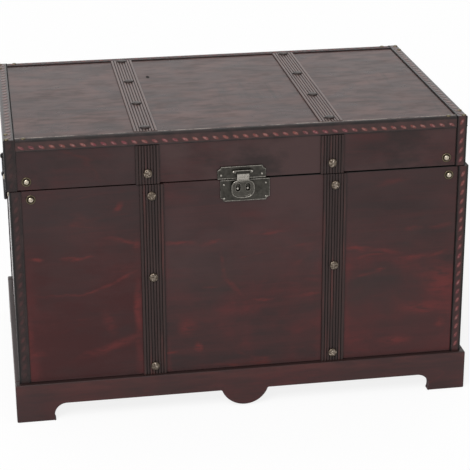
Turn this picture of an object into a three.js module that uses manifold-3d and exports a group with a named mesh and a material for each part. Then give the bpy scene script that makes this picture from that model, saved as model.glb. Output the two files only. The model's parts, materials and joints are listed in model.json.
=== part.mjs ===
// Wooden treasure chest: a case on a bracket plinth, a hinged box lid, reeded straps,
// corner bands, dome nails, a hasp latch in front and a drop handle on each side.
// Millimetres, +Z up, front towards -Y, origin on the floor under the middle of the plinth.
import * as THREE from 'three';
import { mergeVertices } from 'three/addons/utils/BufferGeometryUtils.js';
import Module from 'manifold-3d';

const wasm = await Module();
wasm.setup();

// Overall sizes
const plinthWidth = 850;
const plinthDepth = 515;
const plinthHeight = 76;
const overallHeight = 545;
const lidRise = 95;

// Fits
const clearance = 0.3;
const lidGap = 1.6;
const lidShift = -6;
const cutOverrun = 5;
const mergeTolerance = 1e-4;

// Boards
const wallThick = 12;
const topThick = 9;
const baseThick = 6;
const baseRise = 12;
const grooveDepth = 6;

// Plinth
const plinthThick = 18;
const plinthProud = 8;
const footLength = 72;
const archHeight = 33.5;
const archRadius = 23;
const tongueRadius = 46;
const tongueFloorGap = 2;
const outlineSteps = 20;

// Bands that wrap the edges
const bandThick = 1.6;
const bandLeg = 20.5;
const frontBandDrop = 22;
const frontBandTop = 10;

// Reeded straps
const strapWidth = 42.5;
const strapThick = 4;
const topStrapThick = 2.4;
const strapOffset = 167;
const reedPitch = 5.2;
const grooveCount = 7;
const reedGrooveWidth = 2;
const reedGrooveDepth = 1.5;

// Dome nails
const nailRadius = 8.5;
const nailRim = 0.8;
const nailRise = 4.4;
const nailShankRadius = 1.2;
const nailShankLength = 10;
const nailSides = 16;
const nailSteps = 4;
const caseNailTopDrop = 21;
const caseNailBottomRise = 17;
const caseNailMiddleHeight = 271;
const lidNailRise = 20;
const cornerNailInset = 37;
const caseCornerNailDrop = 16;
const lidCornerNailRise = 16;
const topNailInset = 30;
const topNailCount = 4;

// Latch, its plates a little to the right of the middle and the hasp a little more
const latchShift = 1.6;
const haspShift = 1.4;
const latchPlateThick = 2;
const upperPlateWidth = 88;
const upperPlateHeight = 23.5;
const lowerPlateWidth = 90;
const lowerPlateHeight = 41;
const latchPlateCut = 6;
const haspPivotRise = 14;
const haspBarrelRadius = 3.2;
const haspBarrelGap = 0.4;
const haspBarrelLength = 25;
const haspNeckWidth = 22;
const haspThick = 2.4;
const haspRimThick = 1.1;
const haspRimWidth = 2.6;
const haspBodyWidth = 42;
const haspBodyTopDrop = 16.8;
const haspBodyHeight = 31.8;
const haspChinHeight = 16;
const slotWidth = 9;
const slotHeight = 15;
const slotSpacing = 18;
const slotRise = 12.5;
const haspEarWidth = 2.6;
const haspEarRadius = 3.6;
const haspPinRadius = 1.5;
const haspPinHeadRadius = 2.5;
const haspPinHeadThick = 2;
const postRadius = 3;

// Back hinges
const hingeOffset = 250;
const hingeLength = 60;
const hingeLeafHeight = 28;
const hingeLeafThick = 1.5;
const hingeBarrelRadius = 4;
const hingePinRadius = 2;
const hingeKnuckles = 5;

// Side handles
const handleDrop = 50;
const handlePivotDrop = 34;
const handleEyeSpacing = 105;
const handleRodRadius = 3;
const handleBendRadius = 16;
const handleBendInner = 1.5;
const handlePlateLength = 26;
const handlePlateHeight = 18;
const handlePlateThick = 2;
const handleEyeWidth = 6;
const handleEyeWall = 2.2;
const handleEyeSink = 1;
const handlePlateCut = 4;
const rodSides = 10;
const rodSteps = 56;
const barrelSides = 24;

// Sizes worked out from the ones above
const splitHeight = overallHeight - lidRise;
const caseWidth = plinthWidth - 2 * plinthProud;
const caseDepth = plinthDepth - 2 * plinthProud;
const boardWidth = caseWidth - 2 * bandThick;
const boardDepth = caseDepth - 2 * bandThick;
const sideLength = boardDepth - 2 * wallThick - 2 * clearance;
const bandSkin = bandThick - clearance;
const caseBottom = plinthHeight + clearance;
const caseTop = splitHeight - lidGap / 2;
const caseHeight = caseTop - caseBottom;
const lidBottom = splitHeight + lidGap / 2;
const lidHeight = overallHeight - lidBottom;
const lidTopFace = overallHeight - bandThick;
const lidWallHeight = lidHeight - bandThick - topThick - clearance;
const frontFace = -boardDepth / 2;
const backFace = boardDepth / 2;

const finishes = {
  wood: new THREE.MeshStandardMaterial({ color: 0x40201c, roughness: 0.45, metalness: 0 }),
  lining: new THREE.MeshStandardMaterial({ color: 0x4a2a22, roughness: 0.6, metalness: 0 }),
  band: new THREE.MeshStandardMaterial({ color: 0x2a1b19, roughness: 0.5, metalness: 0 }),
  strap: new THREE.MeshStandardMaterial({ color: 0x2c211f, roughness: 0.5, metalness: 0 }),
  brass: new THREE.MeshStandardMaterial({ color: 0x7a6a4c, roughness: 0.4, metalness: 0.9 }),
  bronze: new THREE.MeshStandardMaterial({ color: 0x45433b, roughness: 0.45, metalness: 0.9 }),
  iron: new THREE.MeshStandardMaterial({ color: 0x151515, roughness: 0.5, metalness: 0.7 }),
};

// Turns a closed geometry into a solid that can be joined and cut
function solidOf(geometry) {
  const bare = geometry.index ? geometry.clone() : geometry;
  bare.deleteAttribute('normal');
  bare.deleteAttribute('uv');
  const merged = mergeVertices(bare, mergeTolerance);
  const vertProperties = new Float32Array(merged.attributes.position.array);
  const triVerts = new Uint32Array(merged.index.array);
  return new wasm.Manifold(new wasm.Mesh({ numProp: 3, vertProperties, triVerts }));
}

function geometryOf(solid) {
  const mesh = solid.getMesh();
  const geometry = new THREE.BufferGeometry();
  geometry.setAttribute('position', new THREE.BufferAttribute(mesh.vertProperties, 3));
  geometry.setIndex(new THREE.BufferAttribute(mesh.triVerts, 1));
  geometry.computeVertexNormals();
  return geometry;
}

function joined(geometries) {
  return geometries.map(solidOf).reduce((whole, next) => whole.add(next));
}

function cutFrom(solid, geometries) {
  return geometries.map(solidOf).reduce((whole, next) => whole.subtract(next), solid);
}

// A box from its low corner to its high corner
function boxBetween(low, high) {
  const size = high.map((value, axis) => value - low[axis]);
  const geometry = new THREE.BoxGeometry(...size);
  const middle = high.map((value, axis) => (value + low[axis]) / 2);
  return geometry.translate(...middle);
}

// A round bar along X between two places
function barAlongX(radius, fromX, toX, y, z) {
  const geometry = new THREE.CylinderGeometry(radius, radius, toX - fromX, barrelSides);
  geometry.rotateZ(Math.PI / 2);
  return geometry.translate((fromX + toX) / 2, y, z);
}

// A round bar along Y between two places
function barAlongY(radius, fromY, toY, x, z) {
  const geometry = new THREE.CylinderGeometry(radius, radius, toY - fromY, barrelSides);
  return geometry.translate(x, (fromY + toY) / 2, z);
}

function shapeFrom(points) {
  return new THREE.Shape(points.map(([a, b]) => new THREE.Vector2(a, b)));
}

// Sections are drawn in two axes and pushed along the third
function pushAlongX(shape, length) {
  const geometry = new THREE.ExtrudeGeometry(shape, { depth: length, bevelEnabled: false });
  const turn = new THREE.Matrix4().makeBasis(
    new THREE.Vector3(0, 1, 0),
    new THREE.Vector3(0, 0, 1),
    new THREE.Vector3(1, 0, 0),
  );
  return geometry.applyMatrix4(turn).translate(-length / 2, 0, 0);
}

// The drawn face lies at y = 0 and looks to the front, and the depth runs to the back
function pushAlongY(shape, length) {
  const options = { depth: length, bevelEnabled: false, curveSegments: outlineSteps };
  const geometry = new THREE.ExtrudeGeometry(shape, options);
  return geometry.rotateX(Math.PI / 2).translate(0, length, 0);
}

function pushAlongZ(shape, length) {
  return new THREE.ExtrudeGeometry(shape, { depth: length, bevelEnabled: false });
}

function piece(name, geometry, finish) {
  const mesh = new THREE.Mesh(geometry, finishes[finish]);
  mesh.name = name;
  return mesh;
}

function place(mesh, x, y, z, turn = 0) {
  mesh.position.set(x, y, z);
  mesh.rotation.z = turn;
  return mesh;
}

// Outline of a plinth board: two bracket feet, arches and, in front, a half-round tongue
function plinthOutline(length, foot, withTongue) {
  const half = length / 2;
  const archCentre = archHeight - archRadius;
  const cuspInset = Math.sqrt(archRadius ** 2 - archCentre ** 2);
  const archX = half - foot - cuspInset;
  const cuspAngle = Math.asin(archCentre / archRadius);
  const shape = new THREE.Shape();
  shape.moveTo(-half, 0);
  shape.lineTo(-half + foot, 0);
  shape.absarc(-archX, archCentre, archRadius, Math.PI + cuspAngle, Math.PI / 2, true);
  if (withTongue) {
    const tongueCentre = tongueFloorGap + tongueRadius;
    const tongueAngle = Math.asin((tongueCentre - archHeight) / tongueRadius);
    const tongueStart = Math.PI + tongueAngle;
    shape.absarc(0, tongueCentre, tongueRadius, tongueStart, 2 * Math.PI - tongueAngle, false);
  }
  shape.absarc(archX, archCentre, archRadius, Math.PI / 2, -cuspAngle, true);
  shape.lineTo(half, 0);
  shape.lineTo(half, plinthHeight);
  shape.lineTo(-half, plinthHeight);
  return shape;
}

function buildPlinth() {
  const group = new THREE.Group();
  const sideSpan = plinthDepth - 2 * plinthThick - 2 * clearance;
  const sideFoot = footLength - plinthThick - clearance;
  const long = (withTongue) => pushAlongY(plinthOutline(plinthWidth, footLength, withTongue), plinthThick);
  const short = () => pushAlongY(plinthOutline(sideSpan, sideFoot, false), plinthThick);
  group.add(place(piece('plinth_front', long(true), 'wood'), 0, -plinthDepth / 2, 0));
  group.add(place(piece('plinth_back', long(false), 'wood'), 0, plinthDepth / 2, 0, Math.PI));
  group.add(place(piece('plinth_left', short(), 'wood'), -plinthWidth / 2, 0, 0, -Math.PI / 2));
  group.add(place(piece('plinth_right', short(), 'wood'), plinthWidth / 2, 0, 0, Math.PI / 2));
  return group;
}

// A case wall with the groove that holds the base, its outer face at y = 0
function groovedWall(length) {
  const grooveLow = baseRise - clearance;
  const grooveHigh = baseRise + baseThick + clearance;
  const section = shapeFrom([
    [0, 0],
    [wallThick, 0],
    [wallThick, grooveLow],
    [wallThick - grooveDepth, grooveLow],
    [wallThick - grooveDepth, grooveHigh],
    [wallThick, grooveHigh],
    [wallThick, caseHeight],
    [0, caseHeight],
  ]);
  return solidOf(pushAlongX(section, length));
}

// A lid wall, its outer face at y = 0
function plainWall(length, height) {
  return solidOf(boxBetween([-length / 2, 0, 0], [length / 2, wallThick, height]));
}

// The hole of a nail that is driven in along +Y at a place on a wall
function shankHole(x, z) {
  const depth = nailShankLength + clearance;
  return barAlongY(nailShankRadius + clearance, -cutOverrun, depth, x, z);
}

function shankHoles(nails, wallBottom) {
  return nails.map(([x, z]) => shankHole(x, z - wallBottom));
}

function buildCase() {
  const group = new THREE.Group();
  const nails = [...caseStrapNails(), ...cornerNails(caseCornerNailHeight())];
  const front = geometryOf(cutFrom(groovedWall(boardWidth), shankHoles(nails, caseBottom)));
  const back = geometryOf(groovedWall(boardWidth));
  const side = () => geometryOf(groovedWall(sideLength));
  group.add(place(piece('case_front', front, 'wood'), 0, frontFace, caseBottom));
  group.add(place(piece('case_back', back, 'wood'), 0, backFace, caseBottom, Math.PI));
  group.add(place(piece('case_left', side(), 'wood'), -boardWidth / 2, 0, caseBottom, -Math.PI / 2));
  group.add(place(piece('case_right', side(), 'wood'), boardWidth / 2, 0, caseBottom, Math.PI / 2));
  group.add(buildBase());
  return group;
}

function buildBase() {
  const inset = 2 * (wallThick - grooveDepth + clearance);
  const panel = new THREE.BoxGeometry(boardWidth - inset, boardDepth - inset, baseThick);
  return place(piece('case_base', panel, 'lining'), 0, 0, caseBottom + baseRise + baseThick / 2);
}

function buildLidBoards() {
  const group = new THREE.Group();
  const nails = [...lidStrapNails(), ...cornerNails(lidBottom + lidCornerNailRise)];
  const wall = plainWall(boardWidth, lidWallHeight);
  const front = geometryOf(cutFrom(wall, shankHoles(nails, lidBottom)));
  const back = geometryOf(plainWall(boardWidth, lidWallHeight));
  const side = () => geometryOf(plainWall(sideLength, lidWallHeight));
  const top = new THREE.BoxGeometry(boardWidth, boardDepth, topThick);
  group.add(place(piece('lid_front', front, 'wood'), 0, frontFace, lidBottom));
  group.add(place(piece('lid_back', back, 'wood'), 0, backFace, lidBottom, Math.PI));
  group.add(place(piece('lid_left', side(), 'wood'), -boardWidth / 2, 0, lidBottom, -Math.PI / 2));
  group.add(place(piece('lid_right', side(), 'wood'), boardWidth / 2, 0, lidBottom, Math.PI / 2));
  group.add(place(piece('lid_top', top, 'wood'), 0, 0, lidTopFace - topThick / 2));
  return group;
}

const cornerNames = [
  ['front_left', -1, -1],
  ['front_right', 1, -1],
  ['back_left', -1, 1],
  ['back_right', 1, 1],
];

// An upright angle band on one corner: alongX covers the front or back, alongY the side
function cornerBand(sideX, sideY, frontTop, sideTop) {
  const outerX = (sideX * caseWidth) / 2;
  const outerY = (sideY * caseDepth) / 2;
  const between = (a, b) => [Math.min(a, b), Math.max(a, b)];
  const [x0, x1] = between(outerX, outerX - sideX * bandLeg);
  const [y0, y1] = between(outerY, outerY - sideY * bandSkin);
  const [u0, u1] = between(outerX, outerX - sideX * bandSkin);
  const [v0, v1] = between(outerY, outerY - sideY * bandLeg);
  const alongX = boxBetween([x0, y0, 0], [x1, y1, frontTop]);
  const alongY = boxBetween([u0, v0, 0], [u1, v1, sideTop]);
  return geometryOf(joined([alongX, alongY]));
}

function buildCornerBands(prefix, base, frontTop, sideTop) {
  const group = new THREE.Group();
  for (const [corner, sideX, sideY] of cornerNames) {
    const band = cornerBand(sideX, sideY, frontTop, sideTop);
    group.add(place(piece(`${prefix}_corner_${corner}`, band, 'band'), 0, 0, base));
  }
  return group;
}

// An angle band along a top edge, its outer corner at y = 0, z = 0 and its drop at the front
function edgeBand(length, topLeg, dropLeg) {
  const section = shapeFrom([
    [0, -dropLeg],
    [bandSkin, -dropLeg],
    [bandSkin, -bandSkin],
    [topLeg, -bandSkin],
    [topLeg, 0],
    [0, 0],
  ]);
  return pushAlongX(section, length);
}

function buildEdgeBands() {
  const group = new THREE.Group();
  const across = caseWidth - 2 * (bandLeg + clearance);
  const along = caseDepth - 2 * bandThick;
  const front = edgeBand(across, frontBandTop, frontBandDrop);
  const back = edgeBand(across, bandLeg, bandLeg);
  const side = () => edgeBand(along, bandLeg, bandLeg);
  const top = overallHeight;
  group.add(place(piece('lid_edge_front', front, 'band'), 0, -caseDepth / 2, top));
  group.add(place(piece('lid_edge_back', back, 'band'), 0, caseDepth / 2, top, Math.PI));
  group.add(place(piece('lid_edge_left', side(), 'band'), -caseWidth / 2, 0, top, -Math.PI / 2));
  group.add(place(piece('lid_edge_right', side(), 'band'), caseWidth / 2, 0, top, Math.PI / 2));
  return group;
}

// Section of a reeded strap in X and its height, with its back at 0
function strapSection(thick) {
  const half = strapWidth / 2;
  const face = clearance + thick;
  const points = [
    [-half, clearance],
    [half, clearance],
    [half, face],
  ];
  for (let i = grooveCount - 1; i >= 0; i -= 1) {
    const middle = (i - (grooveCount - 1) / 2) * reedPitch;
    const floor = face - reedGrooveDepth;
    points.push([middle + reedGrooveWidth / 2, face]);
    points.push([middle + reedGrooveWidth / 4, floor]);
    points.push([middle - reedGrooveWidth / 4, floor]);
    points.push([middle - reedGrooveWidth / 2, face]);
  }
  points.push([-half, face]);
  return shapeFrom(points);
}

// An upright strap on a front face: its back lies at y = 0 and it stands out to the front
function uprightStrap(length, nailHeights) {
  const slat = solidOf(pushAlongZ(strapSection(strapThick), length).rotateZ(Math.PI));
  const holes = nailHeights.map((z) => shankHole(0, z));
  return geometryOf(cutFrom(slat, holes));
}

// The profile of a nail, turned about its axis: head up, shank down
function nailProfile(shankLength) {
  const points = [new THREE.Vector2(0, -shankLength)];
  if (shankLength > 0) {
    points.push(new THREE.Vector2(nailShankRadius, -shankLength));
    points.push(new THREE.Vector2(nailShankRadius, 0));
  }
  points.push(new THREE.Vector2(nailRadius, 0));
  points.push(new THREE.Vector2(nailRadius, nailRim));
  for (let i = 1; i < nailSteps; i += 1) {
    const angle = ((i / nailSteps) * Math.PI) / 2;
    const rise = nailRim + (nailRise - nailRim) * Math.sin(angle);
    points.push(new THREE.Vector2(nailRadius * Math.cos(angle), rise));
  }
  points.push(new THREE.Vector2(0, nailRise));
  return points;
}

function nailPiece(name, x, y, z) {
  const geometry = new THREE.LatheGeometry(nailProfile(nailShankLength), nailSides);
  geometry.rotateX(Math.PI);
  return place(piece(name, geometry, 'brass'), x, y, z);
}

function caseStrapNails() {
  const heights = [caseTop - caseNailTopDrop, caseNailMiddleHeight, caseBottom + caseNailBottomRise];
  return [-strapOffset, strapOffset].flatMap((x) => heights.map((z) => [x, z]));
}

function lidStrapNails() {
  return [-strapOffset, strapOffset].map((x) => [x, lidBottom + lidNailRise]);
}

function caseCornerNailHeight() {
  return caseTop - caseCornerNailDrop;
}

function cornerNails(height) {
  const x = caseWidth / 2 - cornerNailInset;
  return [
    [-x, height],
    [x, height],
  ];
}

const sideNames = ['left', 'right'];

function buildCaseStraps() {
  const group = new THREE.Group();
  const levels = ['top', 'middle', 'bottom'];
  const heights = caseStrapNails().slice(0, levels.length).map(([, z]) => z - caseBottom);
  sideNames.forEach((side, i) => {
    const x = i === 0 ? -strapOffset : strapOffset;
    const strap = uprightStrap(caseHeight, heights);
    group.add(place(piece(`case_strap_${side}`, strap, 'strap'), x, frontFace, caseBottom));
  });
  const headFace = frontFace - strapThick - 2 * clearance;
  caseStrapNails().forEach(([x, z], i) => {
    const name = `nail_case_${sideNames[x < 0 ? 0 : 1]}_${levels[i % levels.length]}`;
    group.add(nailPiece(name, x, headFace, z));
  });
  cornerNails(caseCornerNailHeight()).forEach(([x, z], i) => {
    group.add(nailPiece(`nail_case_corner_${sideNames[i]}`, x, frontFace - clearance, z));
  });
  return group;
}

function buildLidStraps() {
  const group = new THREE.Group();
  const length = lidHeight - frontBandDrop - clearance;
  sideNames.forEach((side, i) => {
    const x = i === 0 ? -strapOffset : strapOffset;
    const strap = uprightStrap(length, [lidNailRise]);
    group.add(place(piece(`lid_strap_front_${side}`, strap, 'strap'), x, frontFace, lidBottom));
    group.add(place(piece(`lid_strap_top_${side}`, topStrap(), 'strap'), x, 0, lidTopFace));
  });
  const headFace = frontFace - strapThick - 2 * clearance;
  lidStrapNails().forEach(([x, z], i) => {
    group.add(nailPiece(`nail_lid_${sideNames[i]}`, x, headFace, z));
  });
  cornerNails(lidBottom + lidCornerNailRise).forEach(([x, z], i) => {
    group.add(nailPiece(`nail_lid_corner_${sideNames[i]}`, x, frontFace - clearance, z));
  });
  return group;
}

// The strap over the lid with its row of nail heads, its back at z = 0
function topStrap() {
  const frontEnd = -caseDepth / 2 + frontBandTop + clearance;
  const backEnd = caseDepth / 2 - bandLeg - clearance;
  const section = strapSection(topStrapThick);
  const slat = pushAlongY(section, backEnd - frontEnd).translate(0, frontEnd, 0);
  const heads = [];
  const reach = caseDepth / 2 - topNailInset;
  for (let i = 0; i < topNailCount; i += 1) {
    const y = -reach + (2 * reach * i) / (topNailCount - 1);
    const head = new THREE.LatheGeometry(nailProfile(0), nailSides).rotateX(Math.PI / 2);
    heads.push(head.translate(0, y, clearance + topStrapThick - reedGrooveDepth));
  }
  return geometryOf(joined([slat, ...heads]));
}

// A latch plate with two cut corners, drawn from its straight edge at z = 0 to its cut edge
function latchPlate(width, height, cut) {
  const half = width / 2;
  const far = height;
  const near = height - Math.sign(height) * cut;
  return shapeFrom([
    [-half, 0],
    [-half, near],
    [-half + cut, far],
    [half - cut, far],
    [half, near],
    [half, 0],
  ]);
}

// Hasp pivot in front of the board face
const haspPivotOut = clearance + latchPlateThick + haspBarrelGap + haspBarrelRadius;
const haspPivotZ = lidBottom + haspPivotRise;
const haspMiddle = latchShift + haspShift;
const haspPivotY = frontFace - haspPivotOut;
const haspBodyTop = haspPivotZ - haspBodyTopDrop;
const haspBodyBottom = haspBodyTop - haspBodyHeight;
const slotZ = haspBodyBottom + slotRise + slotHeight / 2;

function buildUpperPlate() {
  const shape = latchPlate(upperPlateWidth, upperPlateHeight, latchPlateCut);
  const plateFace = frontFace - clearance - latchPlateThick;
  const plate = pushAlongY(shape, latchPlateThick).translate(latchShift, plateFace, lidBottom);
  const parts = [plate];
  const bores = [];
  const inner = haspBarrelLength / 2 + clearance;
  for (const side of [-1, 1]) {
    const x0 = haspMiddle + (side > 0 ? inner : -inner - haspEarWidth);
    const x1 = x0 + haspEarWidth;
    const low = [x0, haspPivotY, haspPivotZ - haspEarRadius];
    const high = [x1, plateFace + latchPlateThick / 2, haspPivotZ + haspEarRadius];
    parts.push(boxBetween(low, high));
    parts.push(barAlongX(haspEarRadius, x0, x1, haspPivotY, haspPivotZ));
    const boreRadius = haspPinRadius + clearance;
    bores.push(barAlongX(boreRadius, x0 - clearance, x1 + clearance, haspPivotY, haspPivotZ));
  }
  return piece('latch_plate_upper', geometryOf(cutFrom(joined(parts), bores)), 'bronze');
}

function buildLowerPlate() {
  const shape = latchPlate(lowerPlateWidth, -lowerPlateHeight, latchPlateCut);
  const plateFace = frontFace - clearance - latchPlateThick;
  const plate = pushAlongY(shape, latchPlateThick).translate(latchShift, plateFace, caseTop);
  const postTip = haspPivotY + clearance;
  const postZ = slotZ - slotHeight / 2 + postRadius + clearance;
  const posts = [-1, 1].map((side) => {
    const root = plateFace + latchPlateThick / 2;
    const x = lidShift + haspMiddle + (side * slotSpacing) / 2;
    return barAlongY(postRadius, postTip, root, x, postZ);
  });
  return piece('latch_plate_lower', geometryOf(joined([plate, ...posts])), 'bronze');
}

// Outline of the hasp below its barrel, in X and Z: a neck, swelling shoulders, a round chin
function haspOutline(inset) {
  const half = haspBodyWidth / 2 - inset;
  const neck = haspNeckWidth / 2 - inset;
  const top = haspBodyTop - inset;
  const wide = haspBodyBottom + haspChinHeight;
  const reach = (top - wide) / 2;
  const shape = new THREE.Shape();
  shape.moveTo(-neck, inset > 0 ? top : haspPivotZ);
  shape.lineTo(-neck, top);
  shape.bezierCurveTo(-neck, top - reach, -half, wide + reach, -half, wide);
  shape.absellipse(0, wide, half, haspChinHeight - inset, Math.PI, 2 * Math.PI, false);
  shape.bezierCurveTo(half, wide + reach, neck, top - reach, neck, top);
  if (inset === 0) {
    shape.lineTo(neck, haspPivotZ);
  }
  return shape;
}

function buildHasp() {
  const plate = pushAlongY(haspOutline(0), haspThick).translate(0, haspPivotY - haspThick, 0);
  const half = haspBarrelLength / 2;
  const barrel = barAlongX(haspBarrelRadius, -half, half, haspPivotY, haspPivotZ);
  const front = haspPivotY - haspThick - haspRimThick;
  const rimBlock = solidOf(pushAlongY(haspOutline(0), haspThick).translate(0, front, 0));
  const aboveLow = [-haspBodyWidth, front - cutOverrun, haspBodyTop];
  const aboveBody = boxBetween(aboveLow, [haspBodyWidth, frontFace, haspPivotZ + cutOverrun]);
  const pocket = pushAlongY(haspOutline(haspRimWidth), haspThick + haspRimThick)
    .translate(0, front - haspThick, 0);
  const rim = cutFrom(rimBlock, [aboveBody, pocket]);
  const bored = barAlongX(haspPinRadius + clearance, -haspBodyWidth, haspBodyWidth, haspPivotY, haspPivotZ);
  const slots = [-1, 1].map((side) => {
    const x = (side * slotSpacing) / 2;
    const low = [x - slotWidth / 2, front - cutOverrun, slotZ - slotHeight / 2];
    const high = [x + slotWidth / 2, haspPivotY + cutOverrun, slotZ + slotHeight / 2];
    return boxBetween(low, high);
  });
  const solid = cutFrom(joined([plate, barrel]).add(rim), [bored, ...slots]);
  return piece('hasp', geometryOf(solid), 'bronze');
}

function buildHaspPin() {
  const half = haspBarrelLength / 2 + clearance + haspEarWidth + clearance;
  const reach = half + haspPinHeadThick / 2;
  const shaft = barAlongX(haspPinRadius, -reach, reach, haspPivotY, haspPivotZ);
  const heads = [-1, 1].map((side) => {
    const start = side > 0 ? half : -half - haspPinHeadThick;
    return barAlongX(haspPinHeadRadius, start, start + haspPinHeadThick, haspPivotY, haspPivotZ);
  });
  return piece('hasp_pin', geometryOf(joined([shaft, ...heads])), 'bronze');
}

// Hinge axis: behind the back boards, level with the joint of case and lid
const hingeAxisY = backFace + clearance + hingeBarrelRadius;

function knuckleSpan(index) {
  const length = hingeLength / hingeKnuckles;
  const start = -hingeLength / 2 + index * length;
  return [start, start + length];
}

// A hinge leaf about the axis at y = 0, z = 0, with the knuckles of one parity
function hingeLeaf(parity, direction) {
  const inner = -hingeBarrelRadius;
  const reach = direction * hingeLeafHeight;
  const low = [-hingeLength / 2, inner, Math.min(0, reach)];
  const high = [hingeLength / 2, inner + hingeLeafThick, Math.max(0, reach)];
  const parts = [boxBetween(low, high)];
  const cuts = [];
  for (let i = 0; i < hingeKnuckles; i += 1) {
    const [start, end] = knuckleSpan(i);
    if (i % 2 === parity) {
      parts.push(barAlongX(hingeBarrelRadius, start + clearance / 2, end - clearance / 2, 0, 0));
    } else {
      const room = clearance / 2;
      cuts.push(barAlongX(hingeBarrelRadius + clearance, start - room, end + room, 0, 0));
    }
  }
  const half = hingeLength / 2 + cutOverrun;
  cuts.push(barAlongX(hingePinRadius + clearance, -half, half, 0, 0));
  return geometryOf(cutFrom(joined(parts), cuts));
}

function buildHinges(caseGroup, lidGroup) {
  sideNames.forEach((side, i) => {
    const x = i === 0 ? -hingeOffset : hingeOffset;
    const caseLeaf = piece(`hinge_case_leaf_${side}`, hingeLeaf(0, -1), 'bronze');
    const lidLeaf = piece(`hinge_lid_leaf_${side}`, hingeLeaf(1, 1), 'bronze');
    const half = hingeLength / 2;
    const pin = piece(`hinge_pin_${side}`, barAlongX(hingePinRadius, -half, half, 0, 0), 'bronze');
    caseGroup.add(place(caseLeaf, x, hingeAxisY, splitHeight));
    caseGroup.add(place(pin, x, hingeAxisY, splitHeight));
    lidGroup.add(place(lidLeaf, x - lidShift, hingeAxisY, splitHeight));
  });
}

// Side handles: drawn for the right side, the pivot axis along Y at x = 0, z = 0
const handleEyeRadius = handleRodRadius + clearance + handleEyeWall;
const handlePivotOut = clearance + handlePlateThick + handleEyeRadius - handleEyeSink;
const handlePivotZ = splitHeight - handlePivotDrop;
const handleArmY = handleEyeSpacing / 2 + handleEyeWidth / 2 + clearance + handleRodRadius;

function handleBracket() {
  const halfLength = handlePlateLength / 2;
  const halfHeight = handlePlateHeight / 2;
  const outline = shapeFrom([
    [-halfLength, -halfHeight + handlePlateCut],
    [-halfLength + handlePlateCut, -halfHeight],
    [halfLength - handlePlateCut, -halfHeight],
    [halfLength, -halfHeight + handlePlateCut],
    [halfLength, halfHeight - handlePlateCut],
    [halfLength - handlePlateCut, halfHeight],
    [-halfLength + handlePlateCut, halfHeight],
    [-halfLength, halfHeight - handlePlateCut],
  ]);
  const plate = pushAlongX(outline, handlePlateThick);
  plate.translate(clearance + handlePlateThick / 2 - handlePivotOut, 0, 0);
  const halfEye = handleEyeWidth / 2;
  const eye = barAlongY(handleEyeRadius, -halfEye, halfEye, 0, 0);
  const rootLow = [clearance + handlePlateThick / 2 - handlePivotOut, -halfEye, -handleEyeRadius];
  const root = boxBetween(rootLow, [0, halfEye, handleEyeRadius]);
  const reach = halfEye + cutOverrun;
  const bore = barAlongY(handleRodRadius + clearance, -reach, reach, 0, 0);
  return geometryOf(cutFrom(joined([plate, eye, root]), [bore]));
}

// The bail's centre line: in through one eye, down, across and up to the other eye
function bailPath() {
  const stub = handleEyeSpacing / 2 - handleEyeWidth / 2 - clearance;
  const bend = handleRodRadius + handleBendInner;
  const drop = handleDrop;
  const arm = handleArmY + bend - handleRodRadius;
  const path = new THREE.CurvePath();
  const at = (y, z) => new THREE.Vector3(0, y, z);
  const line = (a, b) => path.add(new THREE.LineCurve3(a, b));
  const turn = (a, control, b) => path.add(new THREE.QuadraticBezierCurve3(a, control, b));
  line(at(-stub, 0), at(-arm + bend, 0));
  turn(at(-arm + bend, 0), at(-arm, 0), at(-arm, -bend));
  line(at(-arm, -bend), at(-arm, -drop + handleBendRadius));
  turn(at(-arm, -drop + handleBendRadius), at(-arm, -drop), at(-arm + handleBendRadius, -drop));
  line(at(-arm + handleBendRadius, -drop), at(arm - handleBendRadius, -drop));
  turn(at(arm - handleBendRadius, -drop), at(arm, -drop), at(arm, -drop + handleBendRadius));
  line(at(arm, -drop + handleBendRadius), at(arm, -bend));
  turn(at(arm, -bend), at(arm, 0), at(arm - bend, 0));
  line(at(arm - bend, 0), at(stub, 0));
  return path;
}

function bailGeometry() {
  const section = new THREE.Shape();
  section.absarc(0, 0, handleRodRadius, 0, 2 * Math.PI, false);
  const options = { steps: rodSteps, extrudePath: bailPath(), curveSegments: rodSides / 2 };
  return geometryOf(solidOf(new THREE.ExtrudeGeometry(section, options)));
}

function buildHandles(caseGroup) {
  sideNames.forEach((side, i) => {
    const group = new THREE.Group();
    const out = boardWidth / 2 + handlePivotOut;
    group.position.set(i === 0 ? -out : out, 0, handlePivotZ);
    group.rotation.z = i === 0 ? Math.PI : 0;
    const front = i === 0 ? 1 : -1;
    const eyeY = (front * handleEyeSpacing) / 2;
    group.add(place(piece(`handle_bracket_${side}_front`, handleBracket(), 'iron'), 0, eyeY, 0));
    group.add(place(piece(`handle_bracket_${side}_back`, handleBracket(), 'iron'), 0, -eyeY, 0));
    group.add(piece(`handle_bail_${side}`, bailGeometry(), 'iron'));
    caseGroup.add(group);
  });
}

const chest = new THREE.Group();
const caseGroup = new THREE.Group();
const lidGroup = new THREE.Group();
lidGroup.position.x = lidShift;

caseGroup.add(buildPlinth());
caseGroup.add(buildCase());
caseGroup.add(buildCornerBands('case', caseBottom, caseHeight, caseHeight));
caseGroup.add(buildCaseStraps());
caseGroup.add(buildLowerPlate());
buildHandles(caseGroup);

lidGroup.add(buildLidBoards());
lidGroup.add(buildCornerBands('lid', lidBottom, lidHeight, lidHeight - bandLeg - clearance));
lidGroup.add(buildEdgeBands());
lidGroup.add(buildLidStraps());
lidGroup.add(buildUpperPlate());
lidGroup.add(place(buildHasp(), haspMiddle, 0, 0));
lidGroup.add(place(buildHaspPin(), haspMiddle, 0, 0));
buildHinges(caseGroup, lidGroup);

chest.add(caseGroup);
chest.add(lidGroup);

export default chest;
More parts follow.
